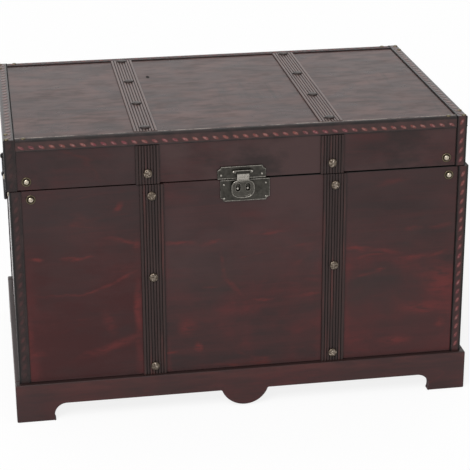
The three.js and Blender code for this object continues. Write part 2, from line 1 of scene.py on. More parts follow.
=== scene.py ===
# The looks of a wooden treasure chest, built around its imported parts.
# Metres, +Z up, the front with the latch towards -Y, the floor at z = 0. Colours are linear red,
# green and blue in thousandths. Wear is 0 in hollows and 1 on crests, and it also carries painted
# light and shade: the bands use less than 0 for round edges painted black as shade and more than 1
# for a painted pale highlight line.
import json
from math import copysign, cos, exp, pi, radians, sin

import bmesh
import bpy
from mathutils import Matrix, Vector, noise


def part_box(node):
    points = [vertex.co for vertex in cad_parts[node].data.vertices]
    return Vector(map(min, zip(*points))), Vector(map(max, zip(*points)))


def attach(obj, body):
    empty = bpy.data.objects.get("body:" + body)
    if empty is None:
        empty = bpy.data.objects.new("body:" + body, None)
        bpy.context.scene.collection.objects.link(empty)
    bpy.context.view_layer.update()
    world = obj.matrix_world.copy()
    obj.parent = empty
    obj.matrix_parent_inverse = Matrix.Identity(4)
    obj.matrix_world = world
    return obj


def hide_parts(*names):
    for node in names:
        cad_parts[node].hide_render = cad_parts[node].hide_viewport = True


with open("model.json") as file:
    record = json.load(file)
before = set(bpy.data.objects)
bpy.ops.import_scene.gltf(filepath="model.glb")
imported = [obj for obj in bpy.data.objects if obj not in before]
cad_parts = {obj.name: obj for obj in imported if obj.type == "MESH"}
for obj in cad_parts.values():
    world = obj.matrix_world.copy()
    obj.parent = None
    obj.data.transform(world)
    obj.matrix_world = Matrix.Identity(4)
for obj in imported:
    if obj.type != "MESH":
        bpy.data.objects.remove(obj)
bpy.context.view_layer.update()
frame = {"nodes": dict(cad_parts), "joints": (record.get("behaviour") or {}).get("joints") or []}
nodes = frame["nodes"]
pivots = {joint["name"]: Vector(joint["pos_m"]) for joint in frame["joints"]}

MM = 0.001
X = Vector((1, 0, 0))
Y = Vector((0, 1, 0))
Z = Vector((0, 0, 1))

# Camera, from a fit to the corners of the chest
IMAGE_SIZE = 470
SENSOR_WIDTH = 36
FOCAL_PIXELS = 1578.7
OPTICAL_ROW = 174
CAMERA_PLACE = Vector((-0.44, -2.8696, 1.4077))
CAMERA_TURNS = ((-9.183, "Z"), (90 - 19.66, "X"), (-0.25, "Z"))

# Light and floor: the world's strength for plain light, then for each kind of ray that sees it
WORLD_LAYERS = [
    (None, 0.55), ("Is Glossy Ray", 0.92), ("Is Transmission Ray", 0.92), ("Is Camera Ray", 1.0),
]
SUN_STRENGTH = 1.85
SUN_ANGLE = radians(35)
SUN_TURN = (radians(40), 0, radians(-35))
SPARK_SIZE = 0.5
SPARK_POWER = 14
SPARK_PLACE = Vector((-1.6, -2.2, 2.1))
SPARK_AIM = Vector((0, 0, 0.3))
FLOOR_HALF = 30
FLOOR_COLOUR = (930, 930, 930)
FLOOR_SEEN_SHARE = 0.85

# Places of the chest, read from its solids, and one speck on its top
CASE_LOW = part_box("case_corner_front_left")[0]
CASE_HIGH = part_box("case_corner_back_right")[1]
LID_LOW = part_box("lid_corner_front_left")[0]
LID_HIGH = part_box("lid_corner_back_right")[1]
LID_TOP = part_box("lid_corner_front_left")[1].z
TOP_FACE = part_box("lid_top")[1].z
SPLIT_HEIGHT = (CASE_HIGH.z + LID_LOW.z) / 2
PLINTH_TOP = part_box("plinth_front")[1].z
PLINTH_HALF = Vector((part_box("plinth_front")[1].x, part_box("plinth_back")[1].y))
TOP_SPECK = (-0.132, 0.1076, TOP_FACE)

# Rounded edges, and edges shaded sharp
BOARD_EDGE = 1.3 * MM
PLINTH_EDGE = 2.5 * MM
METAL_EDGE = 0.35 * MM
EDGE_STEPS = 3
SHARPEST_KEPT = radians(50)
SHARP_TURN = radians(40)
SHARP_TURNS = {"strap_wood": radians(50), "antique_brass": radians(60)}
WELD_REACH = 0.01 * MM

# Bands
BAND_THICK = 1.3 * MM
BAND_LEG = 20.5 * MM
BAND_EDGE = 3 * MM
FRONT_BAND_TOP = 10 * MM
FRONT_BAND_DROP = 22 * MM
BAND_GAP = 0.3 * MM
ARC_STEPS = 6
DASH_PITCH = 18 * MM
UPRIGHT_DASH = (14.5 * MM, 8.5 * MM)
LEVEL_DASH = (13.5 * MM, 8 * MM)
TOP_DASH = (13 * MM, 10.5 * MM)
DASH_SLANT = 0.3
DASH_LEAN = 0.28
DASH_POINTS = 14
DASH_ROUND = 0.8
DASH_FROM_EDGE = 10.6 * MM
FRONT_DASH_FROM_EDGE = 14.8 * MM
ROW_HALF = 4.8 * MM
FRONT_ROW_REACH = 9 * MM
ROW_FADE = 1.8 * MM
ROW_WEAR = 0.34
DASH_LEVELS = [  # share of the outline, height, wear
    (1.0, -0.2 * MM, ROW_WEAR), (0.98, 0.125 * MM, ROW_WEAR), (0.8, 0.375 * MM, 0.55),
    (0.55, 0.475 * MM, 0.85), (0.3, 0.5 * MM, 1.0),
]
BEAD_RADIUS = 1.4 * MM
BEAD_SINK = 0.95 * MM
BEAD_INSET = 1.2 * MM
BEAD_SIDES = 14
# The wear of a painted pale highlight line
PAINTED_HIGHLIGHT_LINE = 2.0
# The wear of round outer edges painted black as shade
PAINTED_SHADE_EDGE = -0.8

# Rubbed marks on the case front: x, z, half length, half height in mm, tilt in degrees, share
RUB_MARKS = [
    (-378, 319, 12, 3.6, -4, 0.8), (-310, 315, 20, 3.6, 4, 1.0), (-284, 317, 13, 2.8, 4, 0.5),
    (-327, 245, 45, 3.0, -2, 0.4), (-277, 249, 21, 3.0, 16, 0.55), (-233, 266, 38, 3.4, 25, 0.6),
    (-229, 409, 11, 4.8, 48, 0.6), (-217, 345, 30, 4.6, -13, 0.5), (-195, 337, 9, 7.6, -4, 0.6),
    (-119, 333, 25, 4.6, -4, 0.6), (-61, 330, 24, 4.2, 5, 0.6), (46, 343, 35, 3.4, 2, 0.5),
    (-40, 286, 24, 3.8, -84, 0.3), (-22, 245, 28, 3.8, -50, 0.35), (36, 213, 16, 2.1, -4, 0.75),
    (117, 211, 27, 4.2, 2, 0.55), (-197, 200, 54, 6.1, -91, 0.65), (-107, 165, 17, 15.2, -5, 0.55),
    (-87, 123, 8, 7.6, -8, 1.0), (-243, 139, 58, 7.6, 19, 0.55), (-384, 131, 17, 4.8, -1, 0.5),
    (-250, 187, 22, 9.5, -72, 0.4), (213, 301, 23, 5.7, -7, 0.7), (264, 291, 33, 3.8, -9, 0.4),
    (318, 276, 29, 4.9, 6, 0.6), (368, 280, 22, 4.2, 15, 0.55), (231, 250, 33, 3.4, 12, 0.45),
    (252, 255, 12, 4.2, 11, 0.8), (316, 334, 17, 4.2, -2, 0.45), (369, 335, 21, 4.6, 8, 0.4),
    (277, 426, 34, 4.7, 8, 0.25), (377, 221, 45, 26.6, -63, 0.55), (347, 173, 50, 11.4, 0, 0.65),
    (287, 108, 35, 9.5, 0, 0.65), (374, 138, 10, 7.6, -5, 0.7), (-396, 162, 80, 7.6, -91, 0.4),
]
MARK_WOBBLE = 20 * MM

# Reeded straps
REED_PITCH = 5.2 * MM
REED_COUNT = 8
GROOVE_FLOOR = 0.5 * MM
GROOVE_DEPTH = 1.5 * MM
REED_STEPS = 10
REED_ROUND = (2.6, 1.8)
STRAP_GAP = 0.3 * MM
TOP_STRAP_THICK = 2.4 * MM

# Nails
NAIL_RADIUS = 8.5 * MM
NAIL_RISE = 4.4 * MM
NAIL_RIM = 0.9 * MM
NAIL_SIDES = 36
NAIL_PETALS = 7
DENT_SIZE = 2.8 * MM
SEED_STEP = 1.7
TOP_NAIL_COUNT = 4
TOP_NAIL_INSET = 30 * MM
SMALL_NAIL = (4.5 * MM, 2.0 * MM)
SIDE_NAIL_INSET = 37 * MM
SIDE_NAIL_FROM_SPLIT = 16 * MM
CORNER_NAIL_INSETS = [(6 * MM, 6 * MM), (6 * MM, 35 * MM), (35 * MM, 6 * MM)]
# Nail sections from the board to the tip, as shares of radius and rise with wear: a flat dull cap
# on a turned edge and a wider foot painted dark as its shadow and shaded side, and a thin rolled
# ring with a dark recess and a bright dome
LOW_NAIL = [
    (1.18, -0.1, -0.5), (1.18, 0.14, -0.5), (1.12, 0.34, -0.4), (1.03, 0.58, -0.25), (0.9, 0.8, 0.2),
    (0.72, 0.92, 0.5), (0.48, 0.98, 0.55), (0.24, 1.0, 0.5), (0, 1.0, 0.5),
]
LOW_NAIL_RELIEF = 0.35
RINGED_NAIL = [
    (1.0, -0.06, 0.0), (1.0, 0.1, 0.15), (0.96, 0.2, 0.36), (0.88, 0.23, 0.36), (0.82, 0.18, 0.15),
    (0.72, 0.12, -0.1), (0.61, 0.14, 0.0), (0.57, 0.4, 0.5), (0.51, 0.66, 0.9), (0.38, 0.85, 1.0),
    (0.2, 0.97, 1.0), (0, 1.0, 1.0),
]

# Latch
PLATE_THICK = 2 * MM
PLATE_CUT = 6 * MM
PLATE_RIM = 0.95 * MM
RIM_WEAR = 0.72
PLATE_PIN = (2 * MM, 0.9 * MM)
PLATE_PIN_INSET = 7 * MM
HASP_THICK = 2.4 * MM
HASP_NECK = 22 * MM
HASP_BARREL = 25 * MM
HASP_BARREL_RADIUS = 3.2 * MM
BARREL_SIDES = 32
BARREL_HIGHLIGHT_REACH = 0.96
HASP_WIDTH = 42 * MM
HASP_TOP_DROP = 16.8 * MM
HASP_HEIGHT = 31.8 * MM
HASP_CHIN = 16 * MM
HASP_CHIN_ROUND = 2.7
HASP_SHOULDER = 11 * MM
HASP_SHOULDER_ROUND = (2.2, 1.6)
HASP_CREASE = 3.2 * MM
HASP_INNER = 3.6 * MM
HASP_CROWN = 0.6 * MM
HASP_BULGE = 1.6 * MM
HASP_BULGE_DROP = 7 * MM
HASP_BULGE_SPREAD = 5 * MM
HASP_LENGTH = HASP_TOP_DROP + HASP_HEIGHT
HASP_ROWS = 40
HASP_DROPS = [HASP_LENGTH * sin(i / HASP_ROWS * pi / 2) for i in range(HASP_ROWS)]
HASP_COLUMNS = 18
SLOT_WIDTH = 9 * MM
SLOT_HEIGHT = 15 * MM
SLOT_SPACING = 18 * MM
SLOT_RISE = 12.5 * MM
SLOT_BOTTOM = SLOT_RISE - HASP_LENGTH
SLOT_POINTS = 24
SLOT_LIP = 0.8 * MM
POST_RADIUS = 3 * MM
EAR_WIDTH = 2.6 * MM
EAR_RADIUS = 3.6 * MM
EAR_STEPS = 12
HASP_PIN_HEAD = 2.6 * MM
BALL_STEPS = 10

# Handles and hinges
ROD_RADIUS = 3 * MM
ROD_SIDES = 20
BAIL_STUB = 49.2 * MM
BAIL_EYE_BEND = 4.5 * MM
BAIL_BEND = 16 * MM
BEND_STEPS = 10
SCREW_RADIUS = 2.6 * MM
SCREW_RISE = 1.1 * MM
SCREW_SLOT = 0.7 * MM
HINGE_LEAF = 1.5 * MM
HINGE_SCREW_STEP = 20 * MM
HINGE_SCREW_SHARES = {"case": 0.42, "lid": 0.58}

NO_SHIFT = (0, 0, 0)
EVEN = (1, 1, 1)
WHITE = (1000, 1000, 1000)
SIDES = ("left", "right")
ENDS = ("front", "back")


class Field:
    """A number that varies over a surface; its arithmetic adds Math nodes to its coat."""

    def __init__(self, coat, socket):
        self.coat = coat
        self.socket = socket

    def __add__(self, other):
        return self.coat.math("ADD", self, other)

    def __sub__(self, other):
        return self.coat.math("SUBTRACT", self, other)

    def __mul__(self, other):
        return self.coat.math("MULTIPLY", self, other)

    def __abs__(self):
        return self.coat.math("ABSOLUTE", self)

    def most(self, other):
        return self.coat.math("MAXIMUM", self, other)

    def window(self, low, high):
        """0 below low, 1 above high, smooth between; low may be above high."""
        feeds = {"Value": self, "From Min": low, "From Max": high}
        made = self.coat.node("MapRange", feeds, interpolation_type="SMOOTHSTEP")
        return Field(self.coat, made.outputs["Result"])

    def near(self, line, reach):
        """1 at plus and minus a line, 0 beyond its reach."""
        return abs(abs(self) - line).window(reach, 0.0)


class Tree:
    """A node tree whose nodes are made with their inputs fed; colours are given in thousandths."""

    def __init__(self, owner):
        owner.use_nodes = True
        self.tree = owner.node_tree

    def feed(self, socket, value):
        value = value.socket if isinstance(value, Field) else value
        if isinstance(value, bpy.types.NodeSocket):
            self.tree.links.new(value, socket)
        elif socket.type == "RGBA":
            socket.default_value = (*(part / 1000 for part in value), 1)
        else:
            socket.default_value = value

    def node(self, kind, feeds=None, **settings):
        made = self.tree.nodes.new("ShaderNode" + kind)
        for name, value in settings.items():
            setattr(made, name, value)
        for socket, value in (feeds or {}).items():
            self.feed(made.inputs[socket], value)
        return made


class Coat(Tree):
    """One material: tints laid over each other in object coordinates, for its Principled shader."""

    def __init__(self, name, grain_axis=0, shift=NO_SHIFT, **sockets):
        self.material = bpy.data.materials.new(name)
        super().__init__(self.material)
        self.shader = self.tree.nodes["Principled BSDF"]
        self.place = self.node("TexCoord").outputs["Object"]
        self.grain_axis = grain_axis
        self.shift = shift
        self.colour = None
        self.set(**sockets)

    def math(self, operation, first, second=0.0):
        return Field(self, self.node("Math", {0: first, 1: second}, operation=operation).outputs[0])

    def vector(self, operation, first, second):
        return self.node("VectorMath", {0: first, 1: second}, operation=operation).outputs[0]

    def noise(self, scale, stretch=EVEN, detail=4, warp=0.0, rough=0.55, shift=None):
        place = self.node("Mapping", {0: self.place, "Scale": stretch, "Location": shift or self.shift})
        feeds = {"Vector": place.outputs[0], "Scale": scale, "Detail": detail, "Roughness": rough}
        return Field(self, self.node("TexNoise", {**feeds, "Distortion": warp}).outputs["Fac"])

    def grain(self, along, across, detail=4, **rest):
        """Noise drawn out along the board's own grain."""
        stretch = [across] * 3
        stretch[self.grain_axis] = along
        return self.noise(1.0, stretch, detail, **rest)

    def axis(self, index):
        return Field(self, self.node("SeparateXYZ", {0: self.place}).outputs[index])

    def wear_and_light(self):
        """The wear that a piece's own points carry, with the painted light and shade that some of them
        carry too.
        """
        return Field(self, self.node("Attribute", attribute_name="worn_and_lit").outputs["Fac"])

    def blend(self, share, first, second):
        return self.node("Mix", {0: share, 6: first, 7: second}, data_type="RGBA").outputs[2]

    def cover(self, share, tint):
        """Lays a share of a tint over the colour so far."""
        self.colour = self.blend(share, self.colour, tint)

    def bump(self, height, distance, below=None):
        feeds = {"Distance": distance, "Height": height, **({"Normal": below} if below else {})}
        return self.node("Bump", feeds).outputs["Normal"]

    def set(self, **sockets):
        for name, value in sockets.items():
            self.feed(self.shader.inputs[name.replace("_", " ")], value)

    def done(self, **sockets):
        self.set(Base_Color=self.colour, **sockets)
        return self.material


def stained_wood(name, grain_axis, shift, red_share, gloss, matt=0.25, wisp_share=0.8):
    """Dark mahogany stain, rubbed through to red in soft clouds and wisps, under satin lacquer."""
    coat = Coat(name, grain_axis, shift, Specular_IOR_Level=gloss)
    broad = coat.grain(5, 42, warp=0.8)
    tone = coat.grain(14, 330, detail=3) * 0.35 + broad * 0.65
    coat.colour = (19, 7.8, 7.8)
    coat.cover(tone.window(0.34, 0.66), (36, 9.8, 9.6))
    smoke = coat.noise(4.6, warp=0.5).window(0.5, 0.72)
    coat.cover(smoke * 0.8, (23.5, 11.8, 10.8))

    bias = coat.axis(2).window(0.5, 0.1) * 0.62 + 0.38
    cloud = coat.noise(6.0, (1, 1, 1.3), detail=5, warp=0.7, rough=0.58).window(0.38, 0.72)
    brushed = coat.grain(8, 46, detail=5, warp=1.0).window(0.28, 0.72)
    speckle = coat.noise(60.0, detail=3).window(0.3, 0.62)
    share = cloud * (brushed * 0.7 + 0.3) * (speckle * 0.3 + 0.7)
    coat.cover(share * bias * red_share, (79, 10, 10.2))

    ridge = coat.grain(2.4, 12, detail=2, warp=0.5, rough=0.45)
    thin = abs(ridge - 0.5).window(0.016, 0.0)
    gate = coat.noise(8.0, detail=2).window(0.5, 0.66)
    torn = coat.grain(30, 110, detail=3).window(0.34, 0.62)
    wisps = (thin * gate) * (torn * bias)
    coat.cover(wisps * (wisp_share * red_share), (135, 13.5, 9.5))

    dust = coat.noise(620.0, detail=1).window(0.7, 0.8)
    coat.cover(dust * 0.2, (80, 45, 40))
    ripple = coat.bump(coat.noise(14.0, detail=2), 0.7 * MM)
    coat.set(Roughness=broad * 0.16 + matt, Normal=coat.bump(tone, 0.14 * MM, ripple))
    return coat


def soft_marks(coat, marks):
    """The strongest share of soft oval marks on the case front, given in millimetres and degrees."""
    wobble = coat.node("TexNoise", {"Vector": coat.place, "Scale": 22.0, "Detail": 3.0}).outputs["Color"]
    centred = coat.vector("SUBTRACT", wobble, (0.5, 0.5, 0.5))
    small = coat.node("VectorMath", {0: centred, "Scale": MARK_WOBBLE}, operation="SCALE").outputs[0]
    moved = coat.vector("ADD", coat.place, small)
    total = None
    for x, z, length, height, tilt, share in marks:
        feeds = {"Vector": moved, "Location": (x * MM, CASE_LOW.y, z * MM),
                 "Rotation": (0, radians(-tilt), 0), "Scale": (1.6 * length * MM, 1, 1.7 * height * MM)}
        place = coat.node("Mapping", feeds, vector_type="TEXTURE").outputs[0]
        ball = coat.node("TexGradient", {"Vector": place}, gradient_type="SPHERICAL").outputs["Fac"]
        mark = Field(coat, ball).window(0.0, 1.0) * share
        total = total.most(mark) if total else mark
    return total


def front_wood():
    """The front boards: a painted greyish sheen and toned zones, one a painted lighter sheen in the
    middle, rubbed red in streaks and beside the straps and bands, dust with painted light at the foot,
    and painted shade along the lid's seam.
    """
    coat = stained_wood("case_wood_front", 0, (3.1, 0.7, 5.3), 1.0, 0.3, wisp_share=0.5)
    across = coat.axis(0)
    height = coat.axis(2)
    upper = height.window(SPLIT_HEIGHT, SPLIT_HEIGHT + 2 * MM)
    middle = abs(across).window(0.2, 0.11)
    # Painted sheen: a greyish haze, strongest high up and in the middle, stands in for the lacquer's
    # reflection.
    painted_sheen = coat.noise(4.5, (1, 1, 1.6), detail=5, rough=0.6, shift=(2.6, 0.1, 7.9)).window(0.38, 0.62)
    painted_sheen = painted_sheen * height.window(0.1, 0.47) * (upper * 0.3 + middle * 0.4 + 0.45)
    coat.cover(painted_sheen, (43, 20.5, 19.8))
    left = across.window(-0.15, -0.175)
    right = across.window(0.15, 0.175)
    zones = [  # where across, foot and its rise, head and its fall, share, tint
        # The middle zone paints a lighter sheen across the middle of the front.
        (middle, (0.22, 0.31), (0.45, 0.41), 0.58, (46, 20.5, 20.5)),
        (left, (0.0, 0.02), (0.4, 0.28), 0.86, (30, 2.2, 2.4)),
        (right, (0.32, 0.4), (0.452, 0.45), 0.42, (18, 8.5, 8.5)),
        (left, (0.34, 0.4), (0.62, 0.6), 0.6, (20, 11, 11.5)),
        (right, (0.04, 0.1), (0.24, 0.18), 0.36, (60, 8.8, 9)),
    ]
    patchy = coat.noise(10.0, (1, 1, 2.4), detail=6, rough=0.62, shift=(5.5, 0.1, 3.2))
    patchy = patchy.window(0.34, 0.62) * 0.6 + 0.4
    for wide, foot, head, share, tint in zones:
        coat.cover(height.window(*foot) * height.window(*head) * (wide * patchy) * share, tint)
    smoky = coat.noise(7.0, (1, 1, 1.8), detail=5, rough=0.62, shift=(4.2, 0.1, 1.3)).window(0.5, 0.66)
    coat.cover(smoky * upper * 0.75, (11.5, 5.8, 5.6))
    beside = across.near(0.1925, 0.013).most(across.near(0.142, 0.009)).most(across.near(0.3905, 0.022))
    torn = coat.noise(16.0, (1, 1, 0.5), detail=5, shift=NO_SHIFT).window(0.38, 0.68)
    coat.cover(beside * height.window(0.38, 0.16) * torn * 0.45, (100, 12, 12))
    brushed = coat.noise(1.0, (40, 34, 140), shift=NO_SHIFT).window(0.26, 0.6)
    coat.cover(soft_marks(coat, RUB_MARKS) * brushed * 0.75, (130, 15, 13))
    # Dust at the case's foot, painted lighter to lift the contact shade above the plinth: painted light.
    dust = height.window(PLINTH_TOP + 6 * MM, PLINTH_TOP + 0.5 * MM)
    coat.cover(dust * 0.75, (62, 36, 36))
    # Painted shade: a dark line along the split between lid and case, fainter left of the latch.
    line = across.window(-0.03, 0.03) * 0.7 + 0.3
    gap_shade = abs(height - SPLIT_HEIGHT).window(2.5 * MM, 1.2 * MM)
    coat.cover(line * gap_shade, (2, 1.5, 1.5))
    return coat.done()


def plinth_wood(name, grain_axis, shift, half):
    """The plinth's stain: rubbed below its top edge, with painted shade along its corners and top edge,
    and dust on its ledge painted lighter to lift the contact shade.
    """
    coat = stained_wood(name, grain_axis, shift, 0.8, 0.335, wisp_share=0.4)
    along = coat.axis(grain_axis)
    height = coat.axis(2)
    if grain_axis == 0:
        coat.cover(along.window(-0.36, -0.4) * 0.5, (26, 12, 12))
        coat.cover(abs(along + 0.29).window(0.1, 0.03) * 0.4, (62, 12.5, 11.5))
    coat.cover(0.3, (47, 12, 11))
    rubbed = coat.grain(12, 60, detail=5, warp=0.6).window(0.36, 0.62)
    coat.cover(rubbed * height.window(0.05, 0.068) * 0.5, (70, 18.5, 15.5))
    streaks = coat.grain(20, 160).window(0.6, 0.36)
    coat.cover(streaks * 0.3, (14, 7.5, 7.5))
    # Painted shade along the plinth's corners and top edge, in place of the shadow line there.
    corner = abs(along).window(half - 2.4 * MM, half - 0.8 * MM)
    rim = corner.most(height.window(PLINTH_TOP - 2.6 * MM, PLINTH_TOP - 0.9 * MM))
    coat.cover(rim * 0.45, (4.5, 2.8, 2.8))
    # Dust on the plinth's top, painted lighter to lift the contact shade under the case: painted light.
    ledge = height.window(PLINTH_TOP - 0.5 * MM, PLINTH_TOP - 0.1 * MM)
    coat.cover(ledge * 0.8, (21, 13, 12.5))
    return coat.done()


def top_wood():
    """The lid's top: brushed smudges, little red and one dark speck, over a plain lining below."""
    coat = stained_wood("top_wood", 0, (8.4, 2.2, 1.9), 0.3, 0.232)
    smudge = coat.noise(1.0, (9, 17, 9), detail=6, warp=1.0, rough=0.66, shift=(1.3, 4.1, 0))
    coat.cover(smudge.window(0.34, 0.62) * 0.8 + 0.16, (94, 44.5, 37.5))
    fine = coat.noise(1.0, (22, 62, 14), warp=0.2, rough=0.6, shift=(6.3, 1.1, 0)).window(0.62, 0.32)
    coat.cover(fine * 0.62, (14, 5.5, 4.8))
    cloudy = coat.noise(7.0, (1, 1.5, 1), detail=3, shift=(2.9, 8.1, 0)).window(0.58, 0.38)
    coat.cover(cloudy * 0.3, (16, 6.5, 5.8))
    across = coat.noise(1.0, (95, 7, 10), detail=3, shift=(0.4, 3.7, 0)).window(0.54, 0.7)
    patches = coat.noise(5.0, detail=2, shift=(7.1, 0.6, 0)).window(0.46, 0.62)
    coat.cover(across * patches * 0.5, (10, 4, 3.8))
    offset = coat.vector("MULTIPLY", coat.vector("SUBTRACT", coat.place, TOP_SPECK), (1, 0.4, 1))
    distance = Field(coat, coat.node("VectorMath", {0: offset}, operation="LENGTH").outputs[1])
    speck = distance.window(4.4 * MM, 1.8 * MM)
    coat.cover(speck, (3, 2, 2))
    grain = coat.grain(6, 150, warp=0.5, shift=NO_SHIFT).window(0.3, 0.7)
    lining = coat.blend(grain, (30, 10.5, 9), (50, 18, 14.5))
    coat.cover(coat.axis(2).window(TOP_FACE - 3 * MM, TOP_FACE - 6 * MM), lining)
    return coat.done(Roughness=smudge * 0.25 + fine * 0.05 + 0.175 + speck * 0.5)


def mottled(name, gloss, tone, relief, reach, tints, rough, depth):
    """A plain finish between two tints, a little rougher where its tone is high."""
    coat = Coat(name, Specular_IOR_Level=gloss)
    tone = coat.noise(*tone)
    coat.colour = tints[0]
    coat.cover(tone.window(*reach), tints[1])
    relief = coat.noise(*relief) if relief else tone
    return coat.done(Roughness=tone * 0.2 + rough, Normal=coat.bump(relief, depth))


def band_finish(name, gloss, rough, depth, row, crests):
    """Dark embossed band: rows rubbed to one colour, crests between two more, a painted pale highlight
    line, and round edges painted black as shade.
    """
    coat = Coat(name, Specular_IOR_Level=gloss)
    mottle = coat.noise(45.0, rough=0.6)
    wear_and_light = coat.wear_and_light()
    coat.colour = (11.5, 8, 7.8)
    coat.cover(mottle.window(0.35, 0.7), (27, 15, 14.5))
    uneven = coat.noise(60.0, shift=(2.2, 9.1, 4.4)).window(0.28, 0.62) * 0.6 + 0.4
    coat.cover(wear_and_light.window(0.0, 0.45) * uneven, row)
    hue = coat.noise(16.0, detail=2, shift=(7.7, 3.1, 0.4)).window(0.4, 0.6)
    coat.cover(wear_and_light.window(0.4, 0.85) * uneven, coat.blend(hue, *crests))
    pale = coat.noise(240.0, detail=3).window(0.4, 0.66)
    coat.cover(pale * wear_and_light.window(0.62, 1.0) * 0.7, (270, 150, 135))
    # Painted highlight: the pale line along the front band's top edge, with white flecks.
    coat.cover(wear_and_light.window(1.1, 1.6), (85, 62, 58))
    highlight_flecks = coat.noise(30.0, detail=5, rough=0.7, shift=(1.4, 5.0, 2.0)).window(0.4, 0.58)
    coat.cover(wear_and_light.window(1.2, 1.8) * highlight_flecks, (340, 290, 260))
    # Painted shade: round outer edges painted black.
    coat.cover(wear_and_light.window(-0.1, -0.9), (3.5, 2.8, 2.8))
    pebble = coat.noise(900.0, detail=3)
    return coat.done(Roughness=mottle * 0.2 + rough, Normal=coat.bump(pebble, depth))


def strap_finish(name, gloss, groove_shade, dark, light, red):
    """Reeded slat: dull grooves painted dark as shade, glossy crests, reddish on a few reeds."""
    coat = Coat(name, Specular_IOR_Level=gloss)
    grain = coat.noise(1.0, (300, 9, 9))
    mottle = coat.noise(1.0, (120, 7, 7), rough=0.6, shift=(5.1, 2.2, 8.3))
    wear_and_light = coat.wear_and_light()
    crest = wear_and_light.window(0.0, 0.6)
    # Painted shade: the grooves are painted dark.
    coat.colour = groove_shade
    coat.cover(crest, coat.blend(grain.window(0.35, 0.65), dark, light))
    coat.cover(mottle.window(0.52, 0.74) * (crest * red), (72, 19.5, 17))
    rough = grain * 0.16 + 0.22 + wear_and_light.window(0.75, 0.05) * 0.62
    return coat.done(Roughness=rough, Normal=coat.bump(grain, 0.1 * MM))


def old_metal(name, hollow, body, rubbed, rough_low, rough_span, pit_scale):
    """Metal with a dark patina in its hollows, rubbed bright on its crests."""
    coat = Coat(name, Metallic=1.0)
    patina = coat.noise(130.0, detail=5, rough=0.65)
    pits = coat.noise(pit_scale, rough=0.6)
    wear_and_light = coat.wear_and_light()
    coat.colour = hollow
    coat.cover((patina * 0.5 + wear_and_light * 0.6).window(0.18, 0.5), body)
    coat.cover((wear_and_light * pits.window(0.22, 0.55)).window(0.35, 1.0), rubbed)
    rough = patina * rough_span + rough_low - wear_and_light * 0.1
    return coat.done(Roughness=rough, Normal=coat.bump(pits, 0.16 * MM))


def make_looks():
    """The slot and the material of each look."""
    plain = {
        "lining_wood": (0.3, (1.0, (6, 180, 180), 4, 0.5), None, (0.3, 0.7),
                        ((45, 18, 13), (95, 42, 28)), 0.45, 0.2 * MM),
        # Black beads along the bands' free edges: a dark seam and painted shade of the gap.
        "bead_black_seam_shade": (0.12, (160.0, EVEN, 3), None, (0.4, 0.75),
                       ((2.2, 1.8, 1.9), (7.5, 5, 5)), 0.7, 0.08 * MM),
        "black_iron": (0.5, (60.0,), (420.0, EVEN, 3), (0.4, 0.75),
                       ((6, 6, 6), (20, 18, 17)), 0.28, 0.08 * MM),
    }
    lining, bead, iron = (mottled(name, *values) for name, values in plain.items())
    bands = [
        ("band_upright", 0.26, 0.34, 0.1 * MM, (53, 18.5, 18),
         ((128, 25, 32), (145, 38, 36))),
        ("band_front", 0.28, 0.34, 0.1 * MM, (52, 24, 22.5),
         ((128, 26.5, 35), (155, 44, 35))),
        # A lighter copy of the band finish for the top bands: painted light, for the light their tops
        # catch.
        ("band_side_painted_light", 0.48, 0.19, 0.05 * MM, (68, 31, 26.5),
         ((150, 83, 72), (140, 58, 52))),
    ]
    straps = [
        ("strap_wood", 0.3, (3.2, 1.6, 1.4), (16.5, 7.8, 7), (28.5, 13.5, 12), 0.7),
        # A lighter copy of the strap finish for the lid's top: its pale crests are painted light for the
        # sheen the top catches.
        ("strap_wood_top_painted_light", 0.5, (4, 1, 0.8), (52, 23, 19), (104, 60, 51), 0.25),
    ]
    nails = [
        ("antique_brass", (30, 23, 16), (135, 110, 70), (540, 480, 385), 0.24),
        ("nail_bronze", (38, 27, 21), (100, 78, 60), (410, 350, 290), 0.26),
        # A darker copy of the nail bronze for the nails on the top: painted shade, for the dark their
        # fronts reflect.
        ("nail_dull_painted_shade", (26, 21, 20), (75, 64, 60), (230, 210, 200), 0.34),
    ]
    bronze = ("latch_bronze", (32, 30, 26.2), (82, 77, 67), (400, 375, 335), 0.3)
    side = stained_wood("case_wood_side", 1, (1.7, 6.1, 2.9), 0.9, 0.48, matt=0.1)
    plinth_long = plinth_wood("plinth_wood_long", 0, (4.9, 1.3, 2.8), PLINTH_HALF.x)
    plinth_short = plinth_wood("plinth_wood_short", 1, (9.2, 5.5, 0.4), PLINTH_HALF.y)
    return {
        "front": ("case_wood", front_wood()),
        "side": ("case_wood", side.done()),
        "top": ("top_wood", top_wood()),
        "plinth_long": ("plinth_wood", plinth_long),
        "plinth_short": ("plinth_wood", plinth_short),
        "lining": ("lining_wood", lining),
        "bead": ("band", bead),
        "iron": ("black_iron", iron),
        "latch_bronze": ("latch_bronze", old_metal(*bronze, 0.22, 700.0)),
        **{band[0]: ("band", band_finish(*band)) for band in bands},
        **{strap[0]: ("strap_wood", strap_finish(*strap)) for strap in straps},
        **{nail[0]: ("antique_brass", old_metal(*nail, 0.25, 520.0)) for nail in nails},
    }


def show(name, data):
    """A new object of the scene."""
    made = bpy.data.objects.new(name, data)
    bpy.context.scene.collection.objects.link(made)
    return made


def make_camera():
    data = bpy.data.cameras.new("camera")
    data.sensor_width = SENSOR_WIDTH
    data.lens = FOCAL_PIXELS / IMAGE_SIZE * SENSOR_WIDTH
    data.shift_y = (OPTICAL_ROW - IMAGE_SIZE / 2) / IMAGE_SIZE
    camera = show("camera", data)
    place = Matrix.Translation(CAMERA_PLACE)
    for angle, axis in CAMERA_TURNS:
        place = place @ Matrix.Rotation(radians(angle), 4, axis)
    camera.matrix_world = place
    bpy.context.scene.camera = camera


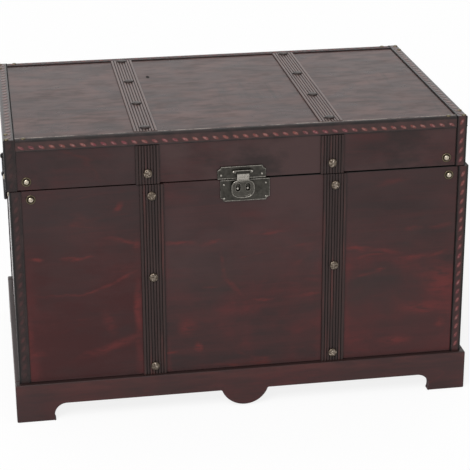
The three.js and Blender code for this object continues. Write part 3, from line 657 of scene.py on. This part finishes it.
def make_world():
    """Even light from all round; cameras and mirrors see it white."""
    world = bpy.data.worlds.new("studio")
    studio = Tree(world)
    studio.tree.nodes.clear()
    rays = studio.node("LightPath").outputs
    seen = None
    for ray, strength in WORLD_LAYERS:
        light = studio.node("Background", {"Color": WHITE, "Strength": strength}).outputs[0]
        seen = studio.node("MixShader", {0: rays[ray], 1: seen, 2: light}).outputs[0] if ray else light
    studio.node("OutputWorld", {"Surface": seen})
    bpy.context.scene.world = world


def make_lamps():
    sun = bpy.data.lights.new("sun", "SUN")
    sun.energy = SUN_STRENGTH
    sun.angle = SUN_ANGLE
    show("sun", sun).rotation_euler = SUN_TURN
    spark = bpy.data.lights.new("spark", "AREA")
    spark.energy = SPARK_POWER
    spark.size = SPARK_SIZE
    lamp = show("spark", spark)
    lamp.location = SPARK_PLACE
    lamp.rotation_euler = (SPARK_AIM - SPARK_PLACE).to_track_quat("-Z", "Y").to_euler()


def make_floor():
    """A white floor that keeps the chest's shadow and is seen a little lighter than it is lit."""
    coat = Coat("floor", Specular_IOR_Level=0.0, Roughness=0.9, Base_Color=FLOOR_COLOUR)
    seen = coat.math("MULTIPLY", coat.node("LightPath").outputs["Is Camera Ray"], FLOOR_SEEN_SHARE)
    glow = coat.node("Emission").outputs[0]
    mix = coat.node("MixShader", {0: seen, 1: coat.shader.outputs[0], 2: glow})
    coat.feed(coat.tree.nodes["Material Output"].inputs["Surface"], mix.outputs[0])
    mesh = bpy.data.meshes.new("floor")
    corners = [(-1, -1), (1, -1), (1, 1), (-1, 1)]
    mesh.from_pydata([(x * FLOOR_HALF, y * FLOOR_HALF, 0) for x, y in corners], [], [(0, 1, 2, 3)])
    mesh.materials.append(coat.material)
    floor = show("floor", mesh)


def span(name):
    """The low and high corners of a node's box, and its middle."""
    low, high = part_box(name)
    return low, high, (low + high) / 2


def circle(count, offset=0.0):
    """The cosines and sines of even turns round a circle."""
    turns = [2 * pi * (i + offset) / count for i in range(count)]
    return [(cos(turn), sin(turn)) for turn in turns]


def arc(steps):
    """The sines and cosines of even turns over a quarter circle."""
    turns = [i / steps * pi / 2 for i in range(steps + 1)]
    return [(sin(turn), cos(turn)) for turn in turns]


def new_form():
    """An empty mesh under construction whose points carry a share of wear."""
    form = bmesh.new()
    form.verts.layers.float.new("worn_and_lit")
    return form


def add_point(form, place, worn_and_lit=0.0):
    point = form.verts.new(place)
    point[form.verts.layers.float["worn_and_lit"]] = worn_and_lit
    return point


def join_loops(form, first, second):
    for i, point in enumerate(first):
        after = (i + 1) % len(first)
        form.faces.new((point, first[after], second[after], second[i]))


def skin(form, loops, closed=False):
    """Joins loops of points in a row, and closes both ends or joins them too."""
    for first, second in zip(loops, loops[1:]):
        join_loops(form, first, second)
    if closed:
        join_loops(form, loops[-1], loops[0])
    else:
        form.faces.new(loops[0][::-1])
        form.faces.new(loops[-1])


def add_prism(form, outline, start, first_axis, second_axis, way):
    """Pushes a closed outline of (first, second, worn) from start along way."""
    ends = []
    for push in (Vector((0, 0, 0)), way):
        foot = start + push
        ends.append([add_point(form, foot + a * first_axis + b * second_axis, worn_and_lit)
                     for a, b, worn_and_lit in outline])
    skin(form, ends)


def side_ways(out):
    """Two directions square to out and to each other."""
    side = out.cross(Z) if abs(out.z) < 0.9 else out.cross(Y)
    side.normalize()
    return side, out.cross(side).normalized()


def add_turned(form, centre, out, radius, rise, section, sides=NAIL_SIDES, relief=None):
    """Turns a section in shares of radius and rise about out, up to a tip, with an added relief."""
    side, up = side_ways(out)
    loops = []
    for share, height, worn_and_lit in section[:-1]:
        loop = []
        for i, (cosine, sine) in enumerate(circle(sides)):
            angle = 2 * pi * i / sides
            extra, more = relief(angle, share * radius) if relief and len(loops) > 1 else (0, 0)
            place = centre + share * radius * (cosine * side + sine * up) + (height * rise + extra) * out
            loop.append(add_point(form, place, min(1, worn_and_lit + more)))
        loops.append(loop)
    form.faces.new(loops[0][::-1])
    for first, second in zip(loops, loops[1:]):
        join_loops(form, first, second)
    _, height, worn_and_lit = section[-1]
    extra, more = relief(0, 0) if relief else (0, 0)
    tip = add_point(form, centre + (height * rise + extra) * out, min(1, worn_and_lit + more))
    for i, point in enumerate(loops[-1]):
        form.faces.new((point, loops[-1][(i + 1) % sides], tip))


def add_tube(form, path, radius, sides, flat, closed=False, worn_and_lit=0.0):
    """A round rod along a path; flat is a direction square to the whole path."""
    count = len(path)
    loops = []
    for i, place in enumerate(path):
        before = path[i - 1] if closed or i > 0 else place
        after = path[(i + 1) % count] if closed or i < count - 1 else place
        side = (after - before).normalized().cross(flat).normalized()
        loops.append([add_point(form, place + radius * (cosine * side + sine * flat), worn_and_lit)
                      for cosine, sine in circle(sides)])
    skin(form, loops, closed)


def raise_form(name, form):
    """Turns a mesh under construction into an object."""
    bmesh.ops.recalc_face_normals(form, faces=form.faces)
    mesh = bpy.data.meshes.new(name)
    form.to_mesh(mesh)
    form.free()
    return show(name, mesh)


def add_piece(name, form, body, look, *replaces):
    """A finished piece that rides on a body and may take the place of nodes."""
    slot, material = looks[look]
    made = raise_form(name, form)
    made.data.materials.append(material)
    made.data.shade_smooth()
    made.data.set_sharp_from_angle(angle=SHARP_TURNS.get(slot, SHARP_TURN))
    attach(made, body)
    if replaces:
        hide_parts(*replaces)


def mark_box_edges(name):
    """Marks the edges that lie along a node's box, so that its nail holes stay sharp."""
    mesh = nodes[name].data
    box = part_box(name)
    marks = mesh.attributes.new("bevel_weight_edge", "FLOAT", "EDGE")
    for edge in mesh.edges:
        ends = [mesh.vertices[i].co for i in edge.vertices]
        shared = sum(all(abs(end[axis] - limit[axis]) < WELD_REACH for end in ends)
                     for axis in range(3) for limit in box)
        marks.data[edge.index].value = 1.0 if shared >= 2 else 0.0


def finish_node(name, look, edge, holed=False, flat=False):
    """Dresses and rounds a CAD node; holed keeps its nail holes sharp, flat joins flat faces first."""
    slot, material = looks[look]
    node = nodes[name]
    mesh = node.data
    mesh.materials.clear()
    mesh.materials.append(material)
    if "custom_normal" in mesh.attributes:
        mesh.attributes.remove(mesh.attributes["custom_normal"])
    mesh.shade_smooth()
    node.modifiers.new("weld", "WELD").merge_threshold = WELD_REACH
    if flat:
        join = node.modifiers.new("flat", "DECIMATE")
        join.decimate_type = "DISSOLVE"
        join.angle_limit = radians(1)
    bevel = node.modifiers.new("edges", "BEVEL")
    bevel.width = edge
    bevel.segments = EDGE_STEPS
    bevel.limit_method = "WEIGHT" if holed else "ANGLE"
    bevel.use_clamp_overlap = False
    if holed:
        mark_box_edges(name)
    else:
        bevel.angle_limit = SHARPEST_KEPT
    node.modifiers.new("shade", "WEIGHTED_NORMAL").keep_sharp = True


def row_points(leg, row, rubbed, reach):
    """Distances along a leg with their wear: the strip under a dash row is rubbed too."""
    inner = row - reach
    outer = min(row + ROW_HALF, leg - 2 * BEAD_INSET)
    points = [(inner - ROW_FADE, 0.0), (inner, ROW_WEAR), (outer, ROW_WEAR), (outer + ROW_FADE, 0.0)]
    return [(place, worn_and_lit * rubbed) for place, worn_and_lit in points if row and place > BAND_EDGE]


def angle_outline(first, second, rubbed, edge_shade=0.0, reach=ROW_HALF):
    """The outline of an angle band of two (leg, row) with a round outer corner at (0, 0)."""
    back = BAND_EDGE - BAND_THICK
    turns = arc(ARC_STEPS)
    outer = [(BAND_EDGE * (1 - sine), BAND_EDGE * (1 - cosine), edge_shade) for sine, cosine in turns]
    inner = [(BAND_EDGE - back * sine, BAND_EDGE - back * cosine, 0.0) for sine, cosine in turns[::-1]]
    before = [(a, 0, worn_and_lit) for a, worn_and_lit in reversed(row_points(*first, rubbed, reach))]
    after = [(0, b, worn_and_lit) for b, worn_and_lit in row_points(*second, rubbed, reach)]
    ends = [(0, second[0], 0.0), (BAND_THICK, second[0], 0.0)]
    return [(first[0], 0, 0.0), *before, *outer, *after, *ends, *inner, (first[0], BAND_THICK, 0.0)]


def add_dash(form, centre, along, across, out, size, rubbed):
    """One raised dash, a leaning pad with round corners that carries a share of wear."""
    length, width = size
    loops = []
    for share, height, worn_and_lit in DASH_LEVELS:
        loop = []
        for cosine, sine in circle(DASH_POINTS, 0.5):
            u = copysign(abs(cosine) ** DASH_ROUND, cosine) * share * length / 2
            v = copysign(abs(sine) ** DASH_ROUND, sine) * share * width / 2
            place = centre + (u + DASH_SLANT * v) * along + (v + DASH_LEAN * u) * across + height * out
            loop.append(add_point(form, place, worn_and_lit * rubbed))
        loops.append(loop)
    skin(form, loops)


def dress_leg(form, beads, start, end, way, out, slant, size, leg, row, rubbed, worn_and_lit=0.0):
    """As many dashes as fit whole on one leg of a band, and a bead half sunk into its free edge."""
    length = (end - start).length
    along = (end - start).normalized()
    count = int(length // DASH_PITCH) if row else 0
    first = (length - (count - 1) * DASH_PITCH) / 2
    for i in range(count):
        centre = start + row * way + (first + i * DASH_PITCH) * along
        add_dash(form, centre, along, slant, out, size, rubbed)
    free = (leg - BEAD_INSET) * way - BEAD_SINK * out
    add_tube(beads, [start + free, end + free], BEAD_RADIUS, BEAD_SIDES, out, worn_and_lit=worn_and_lit)


def corner_band(body, corner, low, high, side_top, beads):
    """An upright angle band: one leg on the front or back, one on the side."""
    name = f"{body}_corner_{corner}"
    sx = 1 if "right" in corner else -1
    sy = 1 if "back" in corner else -1
    outer = Vector((high.x if sx > 0 else low.x, high.y if sy > 0 else low.y, low.z))
    # Painted shade: the left bands' dashes and strips are painted fainter, as the left fronts look
    # darker in the light.
    rubbed = 0.9 if sx > 0 else 0.35 if body == "case" else 0.2
    rise = (side_top - low.z) * Z
    form = new_form()
    outline = angle_outline((BAND_LEG, DASH_FROM_EDGE), (BAND_LEG, DASH_FROM_EDGE), rubbed, PAINTED_SHADE_EDGE)
    add_prism(form, outline, outer, -sx * X, -sy * Y, rise)
    if high.z > side_top:
        outline = [(a, b, worn_and_lit) for a, b, worn_and_lit in outline if b <= BAND_THICK and a >= 0]
        add_prism(form, outline, outer + rise, -sx * X, -sy * Y, (high.z - side_top) * Z)
    for way, out, top, slant in ((-sx * X, sy * Y, high.z, X), (-sy * Y, sx * X, side_top, Y)):
        end = Vector((outer.x, outer.y, top))
        # The right bands' beads go black, a dark seam and painted shade of the gap; the left bands'
        # beads take the band's own finish.
        dress_leg(form, beads if sx > 0 else form, outer, end, way, out, slant, UPRIGHT_DASH,
                  BAND_LEG, DASH_FROM_EDGE, rubbed)
    add_piece(f"{name}_band", form, body, "band_upright", name)


def edge_band(side, inward, look, beads):
    """A band along a top edge of the lid: one leg on the top, one down the face."""
    name = f"lid_edge_{side}"
    low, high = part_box(name)
    crosswise = side in ENDS
    axis = 1 if crosswise else 0
    start = Vector((low.x, low.y, LID_TOP))
    end = Vector((high.x, high.y, LID_TOP))
    start[axis] = end[axis] = low[axis] if inward[axis] > 0 else high[axis]
    form = new_form()
    if side == "front":
        top, drop = (FRONT_BAND_TOP, 0), (FRONT_BAND_DROP, FRONT_DASH_FROM_EDGE)
        # The front band: a painted highlight line along its top leg's back edge, and its round corner
        # painted half dark as shade.
        rubbed, pale = 1.0, PAINTED_HIGHLIGHT_LINE
        outline = angle_outline(top, drop, rubbed, 0.5 * PAINTED_SHADE_EDGE, FRONT_ROW_REACH)
    else:
        top = drop = (BAND_LEG, DASH_FROM_EDGE)
        rubbed, pale = 0.8, 0.0
        outline = angle_outline(top, drop, rubbed)
    add_prism(form, outline, start, inward, -Z, end - start)
    slant = -Z if crosswise else Z
    dress_leg(form, form, start, end, -Z, -inward, slant, LEVEL_DASH, *drop, rubbed)
    beads = form if crosswise else beads
    dress_leg(form, beads, start, end, inward, Z, inward, TOP_DASH, *top, rubbed, pale)
    add_piece(f"{name}_band", form, "lid", look, name)


def make_bands():
    """The bands of all edges in their three finishes; the black beads of each body, a dark seam and
    painted shade of the gap beside the bands, are one piece more.
    """
    beads = {"case": new_form(), "lid": new_form()}
    lid_high = Vector((LID_HIGH.x, LID_HIGH.y, LID_TOP))
    for corner in ("front_left", "front_right", "back_left", "back_right"):
        corner_band("case", corner, CASE_LOW, CASE_HIGH, CASE_HIGH.z, beads["case"])
        corner_band("lid", corner, LID_LOW, lid_high, LID_TOP - BAND_LEG - BAND_GAP, beads["lid"])
    for side, inward in (("front", Y), ("back", -Y), ("left", X), ("right", -X)):
        edge_band(side, inward, "band_front" if inward.y else "band_side_painted_light", beads["lid"])
    for body, form in beads.items():
        add_piece(f"{body}_band_seam_shade_beads", form, body, "bead")


def reed_outline(width, face):
    """The section of a reeded strap in (across, out, worn): flat round reeds between grooves."""
    half = width / 2
    outline = [(-half, STRAP_GAP, 0.4)]
    for i in range(REED_COUNT):
        left = -half if i == 0 else (i - REED_COUNT / 2) * REED_PITCH + GROOVE_FLOOR / 2
        right = half if i == REED_COUNT - 1 else (i + 1 - REED_COUNT / 2) * REED_PITCH - GROOVE_FLOOR / 2
        for k in range(REED_STEPS + 1):
            share = -cos(pi * k / REED_STEPS)
            rise = max(0, 1 - abs(share) ** REED_ROUND[0]) ** (1 / REED_ROUND[1])
            across = (left + right) / 2 + (right - left) / 2 * share
            outline.append((across, face - GROOVE_DEPTH * (1 - rise), rise ** 2))
    outline.append((half, STRAP_GAP, 0.4))
    return outline


def make_straps():
    """The straps on the case, on the lid's front and over the lid."""
    for side in SIDES:
        for part, body in (("case_strap", "case"), ("lid_strap_front", "lid"), ("lid_strap_top", "lid")):
            node = f"{part}_{side}"
            low, high, middle = span(node)
            start = Vector((middle.x, high.y + STRAP_GAP, low.z))
            face, out, way, look = start.y - low.y, -Y, (high.z - low.z) * Z, "strap_wood"
            if part == "lid_strap_top":
                start = Vector((middle.x, low.y, TOP_FACE))
                face, out, way = low.z + TOP_STRAP_THICK - TOP_FACE, Z, (high.y - low.y) * Y
                look = "strap_wood_top_painted_light"
            form = new_form()
            add_prism(form, reed_outline(high.x - low.x, face), start, X, out, way)
            add_piece(f"{node}_reeds", form, body, look, node)


def hammered(seed, depth=1.0):
    """Relief of a hammered, flower-like nail head, and how far its bumps are rubbed."""

    def relief(angle, radius):
        share = radius / NAIL_RADIUS
        swell = sin(pi * min(1, share)) if share > 0 else 0
        petal = 0.5 + 0.5 * cos(NAIL_PETALS * angle + seed)
        spot = Vector((radius * cos(angle), radius * sin(angle), 0)) / DENT_SIZE
        dent = noise.noise(spot + Vector((seed * 7.3, seed * 3.1, seed)))
        height = (0.5 * dent - 0.7 * (1 - petal) * swell) * MM
        return depth * height, depth * (0.7 * dent + 0.3 * (petal - 0.5) * swell)

    return relief


def dome(foot, top, angles, dull, bright):
    """The section of a dome from its foot to its tip, brighter towards the tip."""
    lifts = [(cos(radians(angle)), sin(radians(angle))) for angle in angles] + [(0, 1)]
    return [(c, foot + (top - foot) * s, dull + (bright - dull) * s) for c, s in lifts]


def add_round_nail(form, centre, out, size=SMALL_NAIL, sides=24, worn_and_lit=0.6):
    """A plain dome of a size given as radius and rise."""
    section = [(1, -0.75, 0.0), (1, 0.12, 0.2), *dome(0.12, 1, (18, 36, 54, 72), 0.5 * worn_and_lit, worn_and_lit)]
    add_turned(form, centre, out, *size, section, sides)


def make_nails():
    """One piece for each CAD nail, and a row of nails on each strap over the lid."""
    seed = 1.0
    section = [(1, -STRAP_GAP, 0.0), (1, 0.6 * NAIL_RIM, 0.22), (0.97, NAIL_RIM, 0.42)]
    section += dome(NAIL_RIM, NAIL_RISE, (20, 35, 50, 63, 75, 84), 0.25, 0.6)
    for name in sorted(name for name in nodes if name.startswith("nail_")):
        low, _, middle = span(name)
        centre = Vector((middle.x, low.y + NAIL_RISE, middle.z))
        body = "lid" if name.startswith("nail_lid") else "case"
        form = new_form()
        if "corner" in name:
            add_turned(form, centre, -Y, NAIL_RADIUS, NAIL_RISE, RINGED_NAIL)
            add_piece(f"{name}_head", form, body, "antique_brass", name)
        else:
            add_turned(form, centre, -Y, NAIL_RADIUS, 1, section, relief=hammered(seed))
            add_piece(f"{name}_head", form, body, "nail_bronze", name)
        seed += SEED_STEP
    reach = LID_HIGH.y - TOP_NAIL_INSET
    for side in SIDES:
        _, high, middle = span(f"lid_strap_top_{side}")
        for i in range(TOP_NAIL_COUNT):
            y = -reach + 2 * reach * i / (TOP_NAIL_COUNT - 1)
            form = new_form()
            centre = Vector((middle.x, y, high.z - NAIL_RISE))
            relief = hammered(seed, LOW_NAIL_RELIEF)
            add_turned(form, centre, Z, NAIL_RADIUS, NAIL_RISE, LOW_NAIL, relief=relief)
            add_piece(f"nail_top_{side}_{i + 1}", form, "lid", "nail_dull_painted_shade")
            seed += SEED_STEP


def make_corner_nails():
    """The nails of the side faces, the back and the lid's top, one piece for each body."""
    panel = BAND_THICK + BAND_GAP
    lid = ("lid", LID_LOW, LID_HIGH, LID_LOW.z + SIDE_NAIL_FROM_SPLIT, CORNER_NAIL_INSETS)
    case = ("case", CASE_LOW, CASE_HIGH, CASE_HIGH.z - SIDE_NAIL_FROM_SPLIT, [])
    for body, low, high, z, insets in (lid, case):
        form = new_form()
        for sx, x in ((-1, low.x), (1, high.x)):
            for sy in (-1, 1):
                place = Vector((x - sx * panel, sy * (CASE_HIGH.y - SIDE_NAIL_INSET), z))
                add_turned(form, place, sx * X, NAIL_RADIUS, NAIL_RISE, RINGED_NAIL)
                for across, along in insets:
                    add_round_nail(form, Vector((x - sx * across, sy * (high.y - along), LID_TOP)), Z)
            place = Vector((x - sx * SIDE_NAIL_INSET, CASE_HIGH.y - panel, z))
            add_turned(form, place, Y, NAIL_RADIUS, NAIL_RISE, RINGED_NAIL)
        add_piece(f"nails_{body}_corners", form, body, "antique_brass")


def plate_outline(low_x, high_x, straight_z, cut_z):
    """A latch plate with two corners cut in by a quarter circle, as (x, z) pairs."""
    away = copysign(PLATE_CUT, cut_z - straight_z)
    left = [(low_x + PLATE_CUT * sine, cut_z - away * cosine) for sine, cosine in arc(5)]
    right = [(high_x - PLATE_CUT * cosine, cut_z - away * sine) for sine, cosine in arc(5)]
    return [(low_x, straight_z), *left, *right, (high_x, straight_z)]


def add_plate(form, outline, face_y, middle):
    """A flat plate with a rolled rim around it."""
    add_prism(form, [(x, z, 0.1) for x, z in outline], Vector((0, face_y, 0)), X, Z, PLATE_THICK * Y)
    rim = []
    for x, z in outline:
        inward_x = x - copysign(PLATE_RIM, x - middle.x)
        rim.append(Vector((inward_x, face_y, z - copysign(PLATE_RIM, z - middle.z))))
    add_tube(form, rim, PLATE_RIM, 10, Y, closed=True, worn_and_lit=RIM_WEAR)


def make_latch_plates():
    """The lid's plate with two ears and two pins, the case's with two posts and four pins."""
    face_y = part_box("latch_plate_upper")[1].y - PLATE_THICK
    for place, body in (("upper", "lid"), ("lower", "case")):
        node = f"latch_plate_{place}"
        low, high, middle = span(node)
        if place == "upper":
            straight, cut, add_hold = low.z, high.z, add_ear
            pins = [low.z + PLATE_PIN_INSET]
        else:
            straight, cut, add_hold = high.z, low.z, add_post
            pins = [high.z - 1.3 * PLATE_PIN_INSET, low.z + 0.8 * PLATE_PIN_INSET]
        form = new_form()
        add_plate(form, plate_outline(low.x, high.x, straight, cut), face_y, middle)
        for side in (-1, 1):
            pin_x = middle.x + side * (high.x - middle.x - PLATE_PIN_INSET)
            for pin_z in pins:
                add_round_nail(form, Vector((pin_x, face_y, pin_z)), -Y, PLATE_PIN, 16, 1.0)
            add_hold(form, pivots["hasp_swing"], face_y, side)
        add_piece(f"{node}_plate", form, body, "latch_bronze", node)


def add_ear(form, pivot, face_y, side):
    """One of the two eyes that hold the hasp's pin, with a web back to the plate."""
    half = circle(2 * EAR_STEPS)[:EAR_STEPS + 1]
    outline = [(pivot.z + EAR_RADIUS * cosine, pivot.y - EAR_RADIUS * sine, 0.6)
               for cosine, sine in half]
    outline += [(pivot.z + end * EAR_RADIUS, face_y + PLATE_THICK / 2, 0.2) for end in (-1, 1)]
    near = pivot.x + side * (HASP_BARREL / 2 + BAND_GAP)
    add_prism(form, outline, Vector((near, 0, 0)), Z, Y, side * EAR_WIDTH * X)


def add_post(form, pivot, face_y, side):
    """A round post behind a slot of the hasp."""
    height = face_y - pivot.y - BAND_GAP
    foot_z = pivot.z + SLOT_BOTTOM + POST_RADIUS + BAND_GAP
    foot = Vector((pivot.x + side * SLOT_SPACING / 2, face_y, foot_z))
    section = [(1, 0, 0.2), (1, 0.55, 0.6), (0.9, 0.8, 1.0), (0.5, 0.96, 1.0), (0, 1, 1.0)]
    add_turned(form, foot, -Y, POST_RADIUS, height, section, sides=20)


def hasp_half_width(drop):
    """Half the hasp's width at a drop below its pivot: neck, full shoulders, flat round chin."""
    wide_drop = HASP_LENGTH - HASP_CHIN
    neck = HASP_NECK / 2
    wide = HASP_WIDTH / 2
    if drop <= HASP_TOP_DROP:
        return neck
    if drop <= wide_drop:
        share = 1 - min(1, (drop - HASP_TOP_DROP) / HASP_SHOULDER)
        round_in, round_out = HASP_SHOULDER_ROUND
        return neck + (wide - neck) * (1 - share ** round_in) ** (1 / round_out)
    share = min(1, (drop - wide_drop) / HASP_CHIN)
    return wide * max(0, 1 - share ** HASP_CHIN_ROUND) ** (1 / HASP_CHIN_ROUND)


def hasp_forward(drop):
    """How far the neck bulges to the front at a drop below the pivot."""
    return HASP_BULGE * exp(-(((drop - HASP_BULGE_DROP) / HASP_BULGE_SPREAD) ** 2))


def hasp_painted_light(drop):
    """Painted shade, black in the crease below the barrel; a painted highlight, bright on the neck; dark
    on the body.
    """
    share = drop / HASP_TOP_DROP
    # Painted shade in the crease, then a painted highlight on the neck.
    if drop < HASP_CREASE:
        return -0.6
    if share < 1.1:
        return 0.95 if share < 0.75 else 0.95 - 0.6 * min(1, (share - 0.75) / 0.35)
    return 0.26


def add_hasp_sheet(form, pivot):
    """The hasp's plate: a bent sheet from the barrel to the chin."""
    borders = []
    for thick in (HASP_THICK, 0):
        rows = []
        for drop in HASP_DROPS:
            row = []
            for k in range(HASP_COLUMNS + 1):
                share = 2 * k / HASP_COLUMNS - 1
                crown = HASP_CROWN * (1 - share * share) if drop < HASP_TOP_DROP else 0
                y = pivot.y - thick - hasp_forward(drop) - crown
                place = Vector((pivot.x + share * hasp_half_width(drop), y, pivot.z - drop))
                row.append(add_point(form, place, hasp_painted_light(drop)))
            rows.append(row)
        for upper, lower in zip(rows, rows[1:]):
            for k in range(HASP_COLUMNS):
                form.faces.new((upper[k], upper[k + 1], lower[k + 1], lower[k]))
        right = [row[-1] for row in rows]
        left = [row[0] for row in rows[-2:0:-1]]
        borders.append(rows[0][:-1] + right + rows[-1][-2::-1] + left)
    join_loops(form, *borders)


def slot_outline(side, inset=0.0):
    """A slot of the hasp with round ends as (x, z) pairs."""
    pivot = pivots["hasp_swing"]
    x = pivot.x + side * SLOT_SPACING / 2
    z = pivot.z + SLOT_BOTTOM + SLOT_HEIGHT / 2
    radius = SLOT_WIDTH / 2 - inset
    straight = (SLOT_HEIGHT - SLOT_WIDTH) / 2
    return [(x + radius * cosine, z + copysign(straight, sine) + radius * sine)
            for cosine, sine in circle(SLOT_POINTS, 0.5)]


def cut_slots(hasp, pivot):
    """Cuts the two slots through the hasp's mesh."""
    form = new_form()
    for side in (-1, 1):
        outline = [(x, z, 0.1) for x, z in slot_outline(side)]
        start = Vector((0, pivot.y - 4 * HASP_THICK, 0))
        add_prism(form, outline, start, X, Z, 8 * HASP_THICK * Y)
    cutter = raise_form("slot_cutter", form)
    modifier = hasp.modifiers.new("slots", "BOOLEAN")
    modifier.operation = "DIFFERENCE"
    modifier.solver = "EXACT"
    modifier.object = cutter
    bpy.context.view_layer.update()
    graph = bpy.context.evaluated_depsgraph_get()
    cut = bpy.data.meshes.new_from_object(hasp.evaluated_get(graph))
    hasp.modifiers.clear()
    hasp.data = cut
    bpy.data.objects.remove(cutter)


def make_hasp():
    """The slotted sheet with its barrel, two rims and a lip round each slot; its pin's heads."""
    pivot = pivots["hasp_swing"]
    form = new_form()
    add_hasp_sheet(form, pivot)
    plate = raise_form("hasp_plate", form)
    cut_slots(plate, pivot)

    form = new_form()
    form.from_mesh(plate.data)
    bpy.data.objects.remove(plate)
    face_y = pivot.y - HASP_THICK
    for inset, radius, worn_and_lit in ((PLATE_RIM, PLATE_RIM, RIM_WEAR), (HASP_INNER, 0.45 * PLATE_RIM, 0.55)):
        rim = []
        drops = [drop for drop in HASP_DROPS if drop >= HASP_TOP_DROP + inset - PLATE_RIM]
        for side, ordered in ((-1, drops), (1, reversed(drops))):
            for drop in ordered:
                half = max(0, hasp_half_width(drop) - inset)
                rise = (drop - HASP_TOP_DROP) / HASP_HEIGHT * (inset - PLATE_RIM)
                y = face_y - hasp_forward(drop)
                rim.append(Vector((pivot.x + side * half, y, pivot.z - drop + rise)))
        add_tube(form, rim, radius, 10, Y, closed=True, worn_and_lit=worn_and_lit)
    for side in (-1, 1):
        lip = [Vector((x, face_y, z)) for x, z in slot_outline(side, -0.5 * MM)]
        add_tube(form, lip, SLOT_LIP, 8, Y, closed=True, worn_and_lit=0.55)
    add_barrel(form, pivot - HASP_BARREL / 2 * X)
    add_piece("hasp_tongue", form, "hasp", "latch_bronze", "hasp")

    form = new_form()
    reach = HASP_BARREL / 2 + 2 * BAND_GAP + EAR_WIDTH + 0.3 * HASP_PIN_HEAD
    ball = [(sine, -cosine, 1.0) for cosine, sine in circle(2 * BALL_STEPS)[1:BALL_STEPS]]
    ball = [(0.12, -0.99, 1.0), *ball, (0, 1, 1.0)]
    for side in (-1, 1):
        add_turned(form, pivot + side * reach * X, X, HASP_PIN_HEAD, HASP_PIN_HEAD, ball, sides=20)
    add_piece("hasp_pin_heads", form, "lid", "latch_bronze", "hasp_pin")


def add_barrel(form, start):
    """The hasp's barrel along X, with a painted highlight line along its upper front and painted shade
    elsewhere.
    """
    side, up = side_ways(X)
    bright = (Z - 0.8 * Y).normalized()
    outline = []
    for cosine, sine in circle(BARREL_SIDES):
        # Painted highlight on the upper front, painted shade all round the rest.
        worn_and_lit = 1.0 if (cosine * side + sine * up).dot(bright) > BARREL_HIGHLIGHT_REACH else -0.3
        outline.append((HASP_BARREL_RADIUS * cosine, HASP_BARREL_RADIUS * sine, worn_and_lit))
    add_prism(form, outline, start, side, up, HASP_BARREL * X)


def bend(corner, before, after):
    """The points of a quadratic curve that rounds a corner."""
    shares = [i / BEND_STEPS for i in range(BEND_STEPS + 1)]
    return [(1 - t) ** 2 * before + 2 * t * (1 - t) * corner + t * t * after for t in shares]


def make_bails():
    for side in SIDES:
        node = f"handle_bail_{side}"
        low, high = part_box(node)
        pivot = pivots[f"{side}_bail_swing"]
        eye = Vector((pivot.x, ROD_RADIUS - high.y, pivot.z))
        foot = Vector((pivot.x, eye.y, low.z + ROD_RADIUS))
        half = [Vector((pivot.x, -BAIL_STUB, pivot.z))]
        half += bend(eye, eye + BAIL_EYE_BEND * Y, eye - BAIL_EYE_BEND * Z)
        half += bend(foot, foot + BAIL_BEND * Z, foot + BAIL_BEND * Y)
        path = half + [Vector((place.x, -place.y, place.z)) for place in reversed(half)]
        form = new_form()
        add_tube(form, path, ROD_RADIUS, ROD_SIDES, X)
        add_piece(f"{node}_rod", form, f"{side}_bail", "iron", node)


def add_screw(form, centre, out, slot_way):
    """A round screw head with a driver slot."""
    section = [(1, -0.2, 0.2), (1, 0.3, 0.5), (0.85, 0.8, 0.9), (0.5, 1, 0.8), (0, 1, 0.6)]

    def slot(angle, radius):
        side, up = side_ways(out)
        offset = radius * (cos(angle) * side + sin(angle) * up)
        if abs(offset.dot(slot_way)) < SCREW_SLOT and radius < 0.9 * SCREW_RADIUS:
            return -0.7 * SCREW_RISE, -0.8
        return 0, 0

    add_turned(form, centre, out, SCREW_RADIUS, SCREW_RISE, section, sides=24, relief=slot)


def make_screws():
    """Two screws in each foot of a handle, three in each hinge leaf."""
    form = new_form()
    for side, out in (("left", -X), ("right", X)):
        for end in ENDS:
            low, high, middle = span(f"handle_bracket_{side}_{end}")
            face_x = (low.x if side == "right" else high.x) + out.x * PLATE_THICK
            for way in (-1, 1):
                place = Vector((face_x, middle.y + way * 0.34 * (high.y - low.y), middle.z))
                add_screw(form, place, out, (Y + way * 0.6 * Z).normalized())
    add_piece("handle_screws", form, "case", "iron")
    for body, share in HINGE_SCREW_SHARES.items():
        form = new_form()
        for side in SIDES:
            low, high, middle = span(f"hinge_{body}_leaf_{side}")
            for i in (-1, 0, 1):
                z = low.z + share * (high.z - low.z)
                place = Vector((middle.x + i * HINGE_SCREW_STEP, low.y + HINGE_LEAF, z))
                add_screw(form, place, Y, (X + 0.4 * i * Z).normalized())
        add_piece(f"hinge_{body}_leaf_screws", form, body, "latch_bronze")


def dress_nodes():
    """Materials and rounded edges for the CAD nodes that stay."""
    for end in ENDS + SIDES:
        plinth, board = ("plinth_long", "front") if end in ENDS else ("plinth_short", "side")
        finish_node(f"plinth_{end}", plinth, PLINTH_EDGE, flat=True)
        for part in ("case", "lid"):
            finish_node(f"{part}_{end}", board, BOARD_EDGE, holed=end == "front")
    finish_node("lid_top", "top", BOARD_EDGE)
    finish_node("case_base", "lining", BOARD_EDGE)
    for name in nodes:
        if name.startswith("handle_bracket"):
            finish_node(name, "iron", METAL_EDGE)
        if name.startswith("hinge"):
            finish_node(name, "latch_bronze", METAL_EDGE)


bpy.context.scene.view_settings.view_transform = "Standard"
make_camera()
make_world()
make_lamps()
make_floor()
looks = make_looks()
dress_nodes()
make_bands()
make_straps()
make_nails()
make_corner_nails()
make_latch_plates()
make_hasp()
make_bails()
make_screws()
